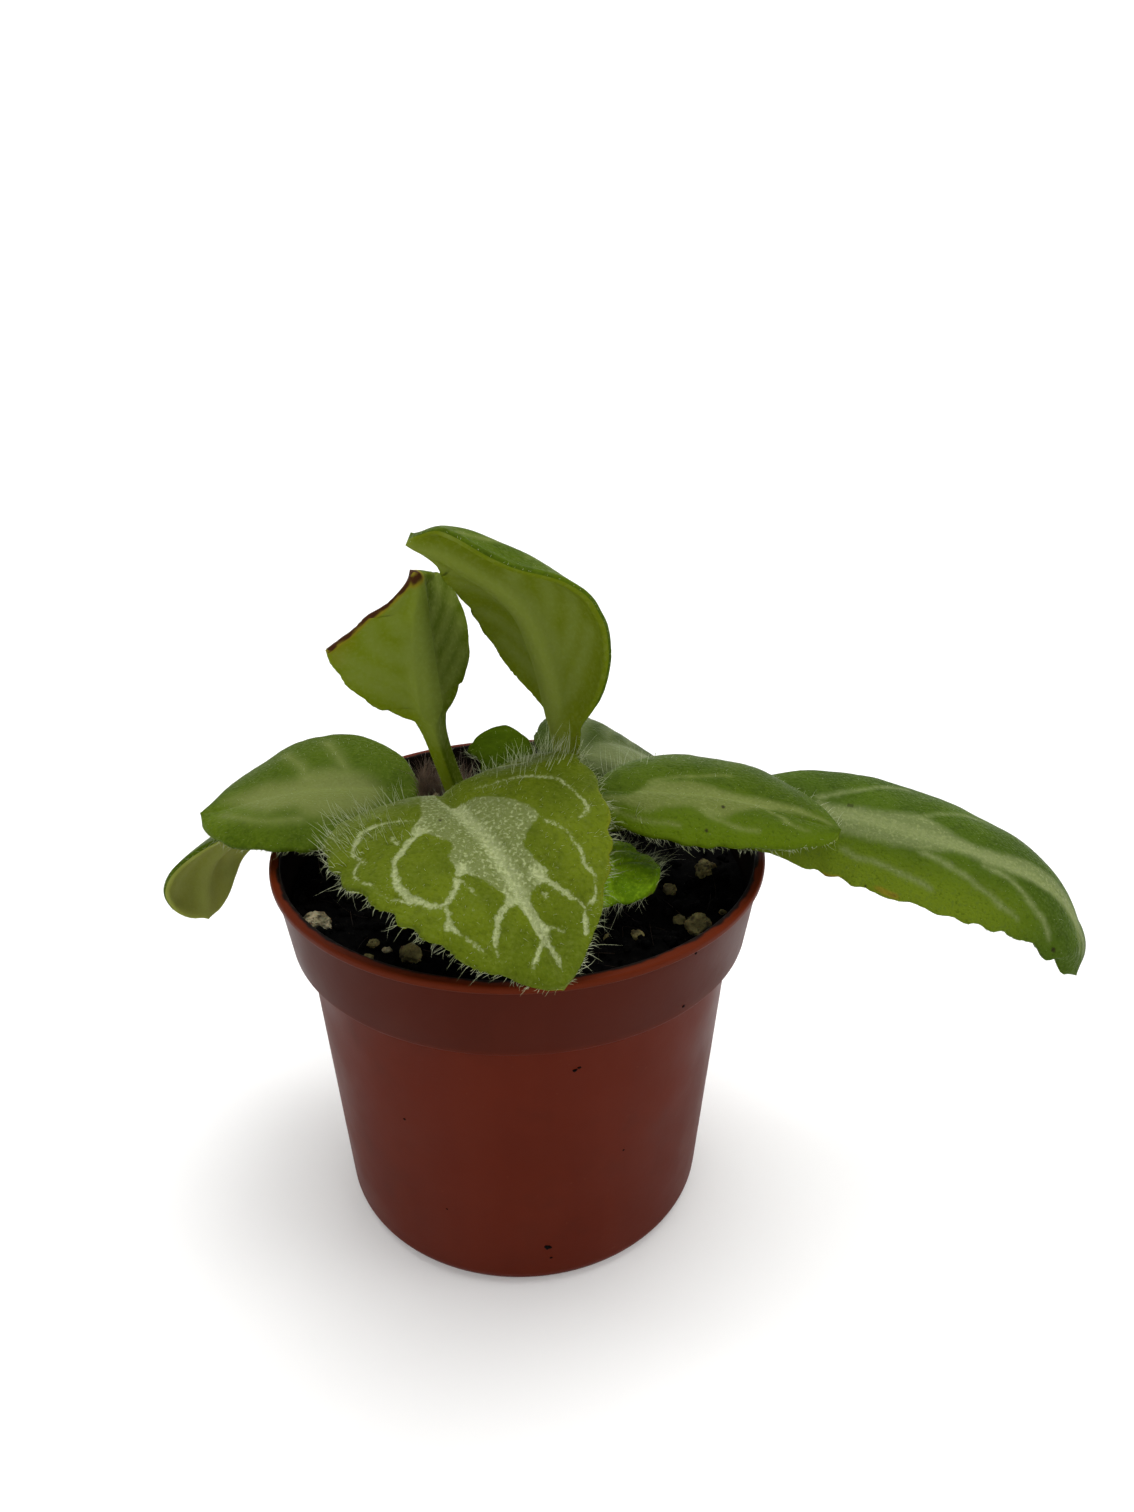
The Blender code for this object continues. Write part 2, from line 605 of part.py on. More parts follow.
def main():
    for old in list(bpy.data.objects):
        bpy.data.objects.remove(old)
    collection = bpy.data.collections.new("potted primulina")
    bpy.context.scene.collection.children.link(collection)
    build_pot(collection, cutter_collection("drain holes"))
    pockets = cutter_collection("pockets in the mix")
    build_perlite(collection, pockets)
    build_soil(collection, pockets)
    build_crown(collection, cutter_collection("leaf sockets"))
    green = material("leaf", srgb(96, 124, 44), 0.6)
    for leaf in LEAVES:
        build_leaf(leaf, collection, green)


main()
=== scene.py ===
# %% [markdown]
# # A small potted primulina, dressed around its solid model
#
# The real thing is a young house plant in a 60 mm nursery pot. Ten hairy leaves grow from one short
# crown, most upper faces carry a silver pattern along the veins, and white perlite shows in dark mix.
#
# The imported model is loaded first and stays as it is. Each of its solids is then replaced by a finer
# piece that keeps its place and form. Every length in this file is in millimetres until a mesh is
# made, because a leaf is easier to think about as 30 than as 0.03.

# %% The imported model
import json
from dataclasses import dataclass
from math import cos, pi, radians, sin

import bmesh
import bpy
import numpy as np
from mathutils import Matrix, Vector, noise

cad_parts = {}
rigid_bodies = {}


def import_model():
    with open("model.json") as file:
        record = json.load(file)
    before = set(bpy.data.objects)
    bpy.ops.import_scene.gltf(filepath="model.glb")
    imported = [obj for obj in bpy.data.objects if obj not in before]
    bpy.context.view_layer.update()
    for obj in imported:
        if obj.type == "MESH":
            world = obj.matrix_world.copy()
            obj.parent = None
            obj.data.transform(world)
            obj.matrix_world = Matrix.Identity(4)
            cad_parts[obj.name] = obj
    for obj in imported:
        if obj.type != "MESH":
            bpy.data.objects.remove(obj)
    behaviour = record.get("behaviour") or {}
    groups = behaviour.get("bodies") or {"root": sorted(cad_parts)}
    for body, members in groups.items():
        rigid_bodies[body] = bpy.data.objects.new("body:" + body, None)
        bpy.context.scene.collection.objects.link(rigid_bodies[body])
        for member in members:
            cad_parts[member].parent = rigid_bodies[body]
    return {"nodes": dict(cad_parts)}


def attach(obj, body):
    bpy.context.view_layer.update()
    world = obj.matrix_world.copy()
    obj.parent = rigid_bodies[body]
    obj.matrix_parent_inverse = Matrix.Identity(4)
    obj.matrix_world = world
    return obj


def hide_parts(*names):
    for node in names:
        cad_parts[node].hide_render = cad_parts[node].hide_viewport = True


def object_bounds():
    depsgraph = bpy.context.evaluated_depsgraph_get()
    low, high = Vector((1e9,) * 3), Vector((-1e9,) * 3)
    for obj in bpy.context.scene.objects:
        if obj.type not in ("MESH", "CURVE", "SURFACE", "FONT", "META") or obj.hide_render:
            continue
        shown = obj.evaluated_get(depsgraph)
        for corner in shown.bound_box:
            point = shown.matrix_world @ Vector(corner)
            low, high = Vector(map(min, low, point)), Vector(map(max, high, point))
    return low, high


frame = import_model()
cad_box = [list(corner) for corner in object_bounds()]
MM = 0.001
print("solids in the packed model:", len(frame["nodes"]))

# %% [markdown]
# ## The camera
#
# The photograph was taken from close by, about 14 cm from the plant and looking down at 25 degrees.
# A near camera makes the rim look wide and the foot narrow, so its distance matters as much as its
# angle. The lens follows from the picture: 1512 pixels of height on a 36 mm sensor.

# %% Camera
PICTURE_HEIGHT = 1512
LENS_IN_PIXELS = 1136.0
SENSOR = 36.0
CAMERA_PLACE = (5.93, -122.28, 118.15)
LOOKS_DOWN = 25.16

camera_data = bpy.data.cameras.new("camera")
camera_data.sensor_width = SENSOR
camera_data.lens = LENS_IN_PIXELS / PICTURE_HEIGHT * SENSOR
camera_data.clip_start = 1 * MM
camera = bpy.data.objects.new("camera", camera_data)
camera.location = Vector(CAMERA_PLACE) * MM
camera.rotation_euler = (radians(90 - LOOKS_DOWN), 0, 0)
bpy.context.scene.collection.objects.link(camera)
bpy.context.scene.camera = camera
print("lens", round(camera_data.lens, 2), "mm")

# %% [markdown]
# ## Making meshes from lists of points
#
# Blender stores a mesh as points and faces. One helper makes an object from both, shades it smoothly,
# puts its finishes on it, and fixes it to the plant. Numbers kept for each point, called attributes,
# can be read by a material later, and they draw the leaf's pattern without any picture.


# %% Helpers for meshes
def make_piece(name, points, faces, finishes, replaced=(), attributes=None, finish_of_face=None):
    """An object from points in mm. It rides on the plant's one body and takes the place of solids."""
    mesh = bpy.data.meshes.new(name)
    mesh.from_pydata((np.asarray(points, float) * MM).tolist(), [], faces)
    for finish in finishes:
        mesh.materials.append(finish)
    if finish_of_face is not None:
        mesh.polygons.foreach_set("material_index", np.asarray(finish_of_face, np.int32))
    for label, values in (attributes or {}).items():
        kept = mesh.attributes.new(label, "FLOAT", "POINT")
        kept.data.foreach_set("value", np.asarray(values, np.float32).ravel())
    mesh.shade_smooth()
    mesh.update()
    made = bpy.data.objects.new(name, mesh)
    bpy.context.scene.collection.objects.link(made)
    return join_plant(made, replaced)


def join_plant(made, replaced=()):
    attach(made, "root")
    if replaced:
        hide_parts(*replaced)
    return made


def settled(made):
    """Applies the object's modifiers, so that what they made is its own mesh."""
    bpy.context.view_layer.update()
    graph = bpy.context.evaluated_depsgraph_get()
    mesh = bpy.data.meshes.new_from_object(made.evaluated_get(graph))
    made.modifiers.clear()
    made.data = mesh
    return made


def triangles(made):
    return sum(len(face.vertices) - 2 for face in made.data.polygons)


def unit(vectors):
    return vectors / np.maximum(np.linalg.norm(vectors, axis=-1, keepdims=True), 1e-9)


def lumps(points, size, shift=0.0):
    """Smooth noise from -1 to 1 at points in mm. Size is how wide a lump is."""
    place = Vector((shift, 3 * shift, 7.1))
    return np.array([noise.noise(Vector(point) / size + place) for point in points])


# %% [markdown]
# ## Building a finish from nodes
#
# A material in Blender is a small graph. Texture nodes read a place on the object and give a number,
# ramps turn the number into a share, mixes turn the share into colour, and the shader at the end turns
# colour into light. These helpers keep each step to one line. Noise sizes are in mm on the object.


# %% Helpers for finishes
def srgb(red, green, blue):
    """A colour as read on a screen, 0 to 255, as the linear values that a shader takes."""
    def linear(value):
        share = value / 255
        return share / 12.92 if share <= 0.04045 else ((share + 0.055) / 1.055) ** 2.4
    return (linear(red), linear(green), linear(blue), 1.0)


def node(tree, kind, inputs=None, **settings):
    """Adds a node. An input is given by its name or number, and is a value or another node's output."""
    made = tree.nodes.new("ShaderNode" + kind)
    for setting, value in settings.items():
        setattr(made, setting, value)
    for socket, value in (inputs or {}).items():
        if isinstance(value, bpy.types.NodeSocket):
            tree.links.new(value, made.inputs[socket])
        else:
            made.inputs[socket].default_value = value
    return made


def new_finish(name, **sockets):
    """A material, its graph and its shader. Sockets that hold one value all over are set here."""
    made = bpy.data.materials.new(name)
    made.use_nodes = True
    shader = made.node_tree.nodes["Principled BSDF"]
    for socket, value in sockets.items():
        shader.inputs[socket.replace("_", " ")].default_value = value
    return made, made.node_tree, shader


def grain(tree, size, detail=2.0, roughness=0.5, stretch=(1, 1, 1)):
    """Noise around 0.5, with lumps about as wide as size in mm."""
    place = node(tree, "TexCoord").outputs["Object"]
    place = node(tree, "Mapping", {"Vector": place, "Scale": stretch}).outputs[0]
    inputs = {"Vector": place, "Scale": 0.5 / (size * MM), "Detail": detail, "Roughness": roughness}
    return node(tree, "TexNoise", inputs).outputs[0]


def cells(tree, size):
    """Distance to the nearest of many scattered points, for pebbles and pores."""
    place = node(tree, "TexCoord").outputs["Object"]
    inputs = {"Vector": place, "Scale": 1 / (size * MM)}
    return node(tree, "TexVoronoi", inputs, feature="F1").outputs["Distance"]


def ramp(tree, value, low, high, start=0.0, end=1.0):
    """Turns a value that runs from low to high into one from start to end, with soft ends."""
    inputs = {"Value": value, "From Min": low, "From Max": high, "To Min": start, "To Max": end}
    return node(tree, "MapRange", inputs, interpolation_type="SMOOTHSTEP").outputs[0]


def sums(tree, one, other, operation="ADD"):
    return node(tree, "Math", {0: one, 1: other}, operation=operation).outputs[0]


def blend(tree, share, one, other):
    """The first colour where the share is 0, and the second where it is 1."""
    return node(tree, "Mix", {0: share, 6: one, 7: other}, data_type="RGBA").outputs[2]


def flat_radius(tree):
    """How far a point lies from the upright axis, in metres."""
    place = node(tree, "TexCoord").outputs["Object"]
    level = node(tree, "Mapping", {"Vector": place, "Scale": (1, 1, 0)}).outputs[0]
    return node(tree, "VectorMath", {0: level}, operation="LENGTH").outputs["Value"]


def kept(tree, label):
    """A number that the mesh keeps for each of its points."""
    return node(tree, "Attribute", attribute_name=label).outputs["Fac"]


def relief(tree, shader, height, depth):
    """Bumps of about that depth in mm."""
    bump = node(tree, "Bump", {"Height": height, "Distance": depth * MM, "Strength": 1.0})
    tree.links.new(bump.outputs[0], shader.inputs["Normal"])


# %% [markdown]
# ## The room
#
# The plant stands on a plain pale floor that curves up far away, so that no edge shows from any side.
# Most light comes from a wide soft lamp overhead, a little behind the plant. That leaves the pot's
# front in gentle shade and lights the leaves from above, as in the photograph.

# %% Floor, lamps and surroundings
FLOOR_RADIUS = 900
WALL_RADIUS = 1500
WALL_HEIGHT = 700


def turned(name, profile, sides):
    """A turned object. The profile is a list of (radius, height) in mm."""
    mesh = bpy.data.meshes.new(name)
    edges = [(index, index + 1) for index in range(len(profile) - 1)]
    mesh.from_pydata([(radius * MM, 0, height * MM) for radius, height in profile], edges, [])
    made = bpy.data.objects.new(name, mesh)
    bpy.context.scene.collection.objects.link(made)
    screw = made.modifiers.new("turn", "SCREW")
    screw.steps = screw.render_steps = sides
    screw.use_merge_vertices = True
    screw.merge_threshold = 0.01 * MM
    return settled(made)


sweep_up = [(FLOOR_RADIUS + (WALL_RADIUS - FLOOR_RADIUS) * sin(radians(angle)),
             WALL_HEIGHT * (1 - cos(radians(angle)))) for angle in range(0, 91, 6)]
floor = turned("floor", [(0, 0)] + sweep_up, 96)
floor.data.shade_smooth()
paper, tree, shader = new_finish("pale paper", Roughness=0.9, Specular_IOR_Level=0.2)
tint = blend(tree, ramp(tree, grain(tree, 60), 0.3, 0.7), srgb(236, 236, 235), srgb(240, 240, 239))
tree.links.new(tint, shader.inputs["Base Color"])
glow = ramp(tree, flat_radius(tree), 120 * MM, 1000 * MM, 0.14, 0.58)
tree.links.new(glow, shader.inputs["Emission Strength"])
shader.inputs["Emission Color"].default_value = (1, 1, 1, 1)
floor.data.materials.append(paper)


def lamp(name, place, aim, size, power):
    """A soft square lamp, with its place and aim in mm."""
    data = bpy.data.lights.new(name, "AREA")
    data.size = size * MM
    data.energy = power
    made = bpy.data.objects.new(name, data)
    made.location = Vector(place) * MM
    made.rotation_euler = (Vector(aim) - Vector(place)).to_track_quat("-Z", "Y").to_euler()
    bpy.context.scene.collection.objects.link(made)
    return made


PLANT_MIDDLE = (5, 0, 50)
lamp("overhead lamp", (40, 120, 720), PLANT_MIDDLE, 620, 4.9)
lamp("side lamp", (560, -120, 330), PLANT_MIDDLE, 300, 0.6)

world = bpy.data.worlds.new("studio")
world.use_nodes = True
world.node_tree.nodes["Background"].inputs["Color"].default_value = (1, 1, 1, 1)
world.node_tree.nodes["Background"].inputs["Strength"].default_value = 0.46
bpy.context.scene.world = world
bpy.context.scene.view_settings.view_transform = "Standard"
print("room made")

# %% [markdown]
# ## What makes one leaf
#
# A leaf grows along a spine: first the stalk, then the midrib of the blade. Each half of the blade has
# its own width, lifts off the midrib at one angle and bends down again towards its margin. These are
# the numbers a maker would bend wire and sheet by. They are those of the solid leaves, but for a few
# widths, tips and margins that were drawn closer to the photograph.


# %% Leaf shapes
@dataclass
class Leaf:
    """One leaf, in mm and degrees. A pair gives the left half, then the right half."""

    name: str
    spine: list  # points along the stalk and the midrib, the first one inside the crown
    stalk: float  # length of the stalk before the blade starts
    half: tuple  # widest measure of each half of the blade, laid flat
    face: tuple  # where the upper face looks at the blade's foot
    face_tip: tuple  # where it looks at the tip
    widest: float = 0.45  # share of the blade's length where it is widest
    foot_taper: float = 0.7  # less is a fuller foot, more is a wedge
    shoulder: tuple = (2.0, 2.0)  # 1 runs straight to the tip, more keeps the width longer
    tip_taper: tuple = (0.6, 0.6)  # less is a round tip, more is a pointed one
    lift: tuple = (8, 8)  # angle at which each half leaves the midrib
    curl: tuple = (40, 40)  # angle that each half then bends down by its margin
    lobe: tuple = (0.0, 0.0)  # how far the foot's lobes reach back
    stalk_half: float = 1.6  # half of the stalk's width
    flare: float = 0.8  # how much wider the stalk gets where it runs into the blade
    roll: tuple = (0.0, 0.0)  # share of each half that rolls under by the margin near the tip
    teeth: int = 7
    tooth: tuple = (0.4, 0.4)  # depth of the notches between the teeth
    wave: float = 0.1  # height of the margin's waves


LEAVES = [
    Leaf(
        "leaf_front",
        [(-4.6, -3.0, 50.0), (-6.6, -5.4, 55.2), (-8.0, -9.4, 59.9),
         (-7.0, -13.2, 61.4), (-0.9, -22.9, 60.0), (5.7, -33.3, 51.9)],
        stalk=11.3, half=(15.4, 14.9), face=(-0.27, -0.37, 0.89), face_tip=(0.05, -0.61, 0.79),
        widest=0.31, foot_taper=0.50, shoulder=(1.6, 1.8), tip_taper=(0.79, 0.72),
        lift=(3, 29), curl=(33, 29), lobe=(3.2, 4.1), flare=0.0, teeth=9, tooth=(0.5, 0.7), wave=0.25,
    ),
    Leaf(
        "leaf_left",
        [(-7.8, 3.4, 50.2), (-11.8, 3.3, 54.2), (-25.6, 1.3, 55.6), (-38.8, 0.3, 52.5)],
        stalk=6.8, half=(10.1, 11.5), face=(-0.03, -0.34, 0.94), face_tip=(-0.32, -0.13, 0.94),
        foot_taper=0.54, shoulder=(2.0, 1.65), tip_taper=(0.53, 0.60), lift=(17, 13), curl=(46, 32),
        tooth=(0.3, 0.1),
    ),
    Leaf(
        "leaf_low_left",
        [(-7.0, 6.3, 47.4), (-15.0, 8.6, 51.4), (-26.3, 9.2, 53.4),
         (-41.2, 9.0, 42.6), (-43.2, 7.7, 33.2)],
        stalk=12.0, half=(8.6, 6.3), face=(0.1, 0.05, 1.0), face_tip=(-0.58, 0.66, 0.45),
        widest=0.58, foot_taper=0.70, shoulder=(2.2, 2.1), tip_taper=(0.50, 0.50),
        lift=(2, 12), curl=(31, 37), tooth=(0.1, 0.1), wave=0.0,
    ),
    Leaf(
        "leaf_upright_left",
        [(-6.0, 0.6, 51.5), (-7.9, 0.1, 57.5), (-9.9, -0.9, 65.9), (-10.7, -1.3, 74.1), (-10.9, -1.8, 83.9)],
        stalk=15.2, half=(8.8, 10.0), face=(-0.25, 0.96, 0.0), face_tip=(-0.70, 0.71, 0.1),
        widest=0.54, foot_taper=0.62, shoulder=(2.3, 1.0), tip_taper=(0.70, 1.1),
        lift=(36, 25), curl=(7, 3), stalk_half=1.25, flare=0.6, teeth=5, tooth=(0.2, 0.35),
    ),
    Leaf(
        "leaf_upright_right",
        [(2.5, 1.8, 51.0), (5.3, 1.3, 56.9), (6.3, -1.2, 64.3),
         (2.0, -1.8, 78.8), (-4.9, -4.6, 85.7), (-10.6, -5.0, 88.5)],
        stalk=15.5, half=(10.0, 9.8), face=(0.73, 0.52, -0.43), face_tip=(0.16, 0.58, 0.80),
        widest=0.42, foot_taper=0.78, shoulder=(3.8, 1.6), tip_taper=(0.80, 0.80),
        lift=(36, 26), curl=(60, 48), stalk_half=1.9, roll=(0.25, 0.0), tooth=(0.1, 0.35),
    ),
    Leaf(
        "leaf_right",
        [(1.7, -2.0, 49.8), (5.8, -4.2, 54.4), (10.7, -6.0, 59.0), (24.8, -7.4, 58.8), (36.6, -10.6, 56.2)],
        stalk=10.9, half=(10.3, 7.9), face=(-0.07, -0.15, 0.99), face_tip=(0.21, -0.15, 0.97),
        foot_taper=0.62, shoulder=(2.0, 1.9), lift=(13, 20), curl=(43, 65), tooth=(0.1, 0.3),
    ),
    Leaf(
        "leaf_far_right",
        [(2.3, 2.4, 48.0), (12.0, 2.2, 51.2), (24.0, 0.2, 53.6),
         (38.8, -4.0, 55.0), (58.5, -9.7, 50.4), (64.9, -12.3, 43.6), (65.0, -13.0, 38.6)],
        stalk=20.8, half=(9.5, 8.6), face=(-0.15, -0.56, 0.82), face_tip=(0.57, -0.38, 0.72),
        widest=0.52, foot_taper=0.58, shoulder=(1.75, 2.3), tip_taper=(0.55, 0.50),
        lift=(2, 0), curl=(46, 52), teeth=12, tooth=(0.1, 0.45),
    ),
    Leaf(
        "leaf_back",
        [(-3.3, 6.0, 50.2), (-3.2, 9.0, 54.8), (-2.0, 16.0, 56.1), (-3.0, 29.0, 51.6)],
        stalk=6.0, half=(6.2, 4.9), face=(-0.09, 0.0, 1.0), face_tip=(0.14, 0.41, 0.90),
        lift=(3, -2), curl=(57, 76), teeth=6, tooth=(0.4, 0.4),
    ),
    Leaf(
        "leaf_back_right",
        [(0.2, 5.0, 49.4), (3.4, 9.0, 54.0), (10.9, 13.8, 56.3), (21.0, 18.2, 50.0)],
        stalk=8.0, half=(11.0, 9.5), face=(0.04, -0.27, 0.96), face_tip=(0.21, 0.22, 0.95),
        foot_taper=0.50, lift=(12, 8), curl=(39, 40), teeth=6, tooth=(0.4, 0.4),
    ),
    Leaf(
        "leaf_small",
        [(-0.4, -3.6, 47.2), (3.4, -6.8, 49.8), (10.3, -9.6, 51.3), (15.6, -12.9, 50.4)],
        stalk=6.0, half=(5.9, 5.9), face=(0.28, -0.25, 0.93), face_tip=(0.10, -0.52, 0.85),
        tip_taper=(0.45, 0.60), lift=(3, 8), curl=(42, 40), stalk_half=1.3, teeth=5,
        tooth=(0.5, 0.8), wave=0.3,
    ),
]
print("leaves:", len(LEAVES))

# %% [markdown]
# ## Bending the blade
#
# The spine is a smooth curve through its points, and at each place it has three directions: ahead, up
# and to the right. A place on the leaf is then given by two numbers, how far along it lies and how far
# across from -1 at the left margin to 1 at the right one. Whole arrays of such pairs are worked out at
# once, which is far quicker than one point after another.

# %% The spine
LOBE_SHARE = 0.22
LOBE_RUN = 10.0
SPREAD_RUN = 4.0
TIP_HALF_WIDTH = 0.45
TIP_ROUND = 0.015
BLUNT_END = 0.04
LAST_TOOTH = 0.91
FLARE_RUN = 1.5
ROLL_FROM = 0.5
ROLL_START = (0.45, 0.75)
ROLL_END = (0.8, 1.0)
TOOTH_LEAN = 1.4
TOOTH_UNEVEN = 0.25
FULL_TOOTH = 7.0
NICKS = 0.16
ROUND_GROWTH = 0.25


def smooth_path(points, steps=30):
    """A Catmull-Rom curve through points of any number of coordinates."""
    given = [np.array(point, float) for point in points]
    ends = [2 * given[0] - given[1]] + given + [2 * given[-1] - given[-2]]
    path = []
    for one, two, three, four in zip(ends, ends[1:], ends[2:], ends[3:]):
        for step in range(steps):
            t = step / steps
            path.append(0.5 * (2 * two + (three - one) * t + (2 * one - 5 * two + 4 * three - four) * t ** 2
                               + (3 * two - one - 3 * three + four) * t ** 3))
    return np.array(path + [given[-1]])


class Spine:
    """A leaf's spine, read by the distance along it."""

    def __init__(self, leaf):
        self.path = smooth_path(leaf.spine)
        runs = np.linalg.norm(np.diff(self.path, axis=0), axis=1)
        self.distance = np.concatenate([[0.0], np.cumsum(runs)])
        self.length = self.distance[-1]
        self.blade = self.length - leaf.stalk
        self.ahead = unit(np.gradient(self.path, self.distance, axis=0))
        share = np.clip((self.distance - leaf.stalk) / self.blade, 0, 1)[:, None]
        face = (1 - share) * np.array(leaf.face, float) + share * np.array(leaf.face_tip, float)
        self.up = unit(face - self.ahead * np.sum(face * self.ahead, axis=1)[:, None])
        for index in range(np.searchsorted(self.distance, leaf.stalk), -1, -1):
            carried = self.up[index + 1]
            self.up[index] = unit(carried - self.ahead[index] * carried.dot(self.ahead[index]))

    def read(self, values, along):
        return np.stack([np.interp(along, self.distance, values[:, axis]) for axis in range(3)], axis=-1)

    def frame(self, along):
        ahead = unit(self.read(self.ahead, along))
        up = self.read(self.up, along)
        up = unit(up - ahead * np.sum(up * ahead, axis=-1, keepdims=True))
        return ahead, up, np.cross(ahead, up)


front = LEAVES[0]
front_spine = Spine(front)
print("front leaf's spine:", round(float(front_spine.length), 1), "mm")


# %% [markdown]
# ## Width, teeth and the curved face
#
# A real blade opens from its foot, closes at its tip and has notches along its margin. Its outline
# could be drawn as a curve by hand. Here each half's width is a formula of the share along the blade,
# because the same formula then also places the hairs and the pattern. Lift and curl bend each half as
# an arc beside the spine.

# %% Where a point of the leaf lies
def of_half(pair, across):
    """The left or the right value of a pair, by the sign of each across."""
    return np.where(across > 0, pair[1], pair[0])


def blade_share(leaf, spine, along):
    return (along - leaf.stalk) / spine.blade


def outline(leaf, share, across):
    """The blade's width at a share of its length, as a part of the widest."""
    foot = (1 - np.clip((leaf.widest - share) / leaf.widest, 0, 1) ** 2) ** leaf.foot_taper
    past = np.clip((share - leaf.widest) / (1 - leaf.widest), 0, 1)
    tip = (1 - past ** of_half(leaf.shoulder, across)) ** of_half(leaf.tip_taper, across)
    return np.where(share < leaf.widest, foot, tip) * (share > 0)


def smooth_step(low, high, value):
    t = np.clip((value - low) / (high - low), 0, 1)
    return t * t * (3 - 2 * t)


def teeth_passed(leaf, share):
    """How many teeth lie before a share of the blade. They are uneven, as on a real margin."""
    return leaf.teeth * share + TOOTH_UNEVEN * np.sin(1.7 * leaf.teeth * share + leaf.teeth)


def half_width(leaf, spine, along, across):
    """Width of one half in mm, flared where the stalk meets the blade, with teeth that lean ahead."""
    share = blade_share(leaf, spine, along)
    held = np.clip(share, 0, 1)
    blade = of_half(leaf.half, across) * outline(leaf, share, across)
    stalk = leaf.stalk_half + (TIP_HALF_WIDTH - leaf.stalk_half) * held
    stalk = stalk + leaf.flare * np.exp(-abs(along - leaf.stalk) / FLARE_RUN)
    nicks = NICKS * np.sin(23 * leaf.teeth * held + 3 * np.sin(9 * leaf.teeth * held) + (across > 0))
    notch = 1 - np.sin(pi * (teeth_passed(leaf, held) % 1.0) ** TOOTH_LEAN) + nicks
    notch = (of_half(leaf.tooth, across) * notch - ROUND_GROWTH) * np.minimum(1.0, blade / FULL_TOOTH)
    notch = notch * smooth_step(1.0, LAST_TOOTH, held)
    round_end = np.sqrt(np.clip((1 - held) / TIP_ROUND, BLUNT_END, 1))
    return (np.sqrt(stalk ** 2 + blade ** 2) - notch) * round_end


def spread_of(leaf, width):
    """0 on the stalk and 1 where the blade is wide."""
    return np.clip((width - leaf.stalk_half) / SPREAD_RUN, 0, 1)


def leaf_surface(leaf, spine, along, across):
    """Points of the leaf's smooth upper face, before veins and lumps."""
    raw = blade_share(leaf, spine, along)
    share = np.clip(raw, 0, 1)
    reach = abs(across)
    width = half_width(leaf, spine, along, across)
    spread = spread_of(leaf, width)
    on_blade = np.exp(-(share / LOBE_SHARE) ** 2)
    on_stalk = np.maximum(0.0, 1 + (along - leaf.stalk) / LOBE_RUN)
    back = of_half(leaf.lobe, across) * np.where(raw >= 0, on_blade, on_stalk) * reach ** 2
    along = np.where(along <= leaf.stalk, along - back, along)
    back = np.where(raw > 0, back, 0.0)
    ahead, up, right = spine.frame(along)
    lift = np.radians(of_half(leaf.lift, across)) * spread
    curl = np.maximum(np.radians(of_half(leaf.curl, across)) * spread, 0.001)
    rolled = of_half(leaf.roll, across) * width * smooth_step(ROLL_FROM, 1.0, reach)
    rolled = rolled * (smooth_step(*ROLL_START, share) - smooth_step(*ROLL_END, share))
    out = (np.sin(lift) - np.sin(lift - curl * reach)) / curl * width - rolled * 0.5
    rise = (np.cos(lift - curl * reach) - np.cos(lift)) / curl * width - rolled
    rise = rise + leaf.wave * spread * reach ** 2 * np.sin(pi * leaf.teeth * share + (across > 0))
    side = np.where(across > 0, 1.0, -1.0)
    return (spine.read(spine.path, along) + right * (out * side)[..., None]
            + up * rise[..., None] - ahead * back[..., None])


def leaf_normal(leaf, spine, along, across):
    """The direction that the upper face looks in, from four points close by."""
    step = 0.15
    width = np.maximum(half_width(leaf, spine, along, across), 0.3)
    aside = np.clip(step / width, 0.01, 0.3)
    right = (leaf_surface(leaf, spine, along, np.minimum(across + aside, 1))
             - leaf_surface(leaf, spine, along, np.maximum(across - aside, -1)))
    last = spine.length - 0.02
    ahead = (leaf_surface(leaf, spine, np.minimum(along + step, last), across)
             - leaf_surface(leaf, spine, np.maximum(along - step, 0), across))
    return unit(np.cross(right, ahead))


widest_place = front.stalk + front.widest * front_spine.blade
halves = half_width(front, front_spine, np.full(2, widest_place), np.array([-1.0, 1.0]))
print("front leaf's halves where it is widest:", halves.round(1), "mm")


# %% [markdown]
# ## The silver pattern
#
# Primulina leaves are grey-green with silver along the veins, where air lies under the leaf's skin. On
# the real plant most leaves have a pale band on the midrib with frayed edges, and thin branches that
# loop towards the margin. The pattern is drawn here as outlines and lines in leaf coordinates: share along
# the blade, then across. Each point of the mesh then keeps how far it lies from that drawing, in mm.
# Such a distance stays crisp between points, and the material can fray it with noise.

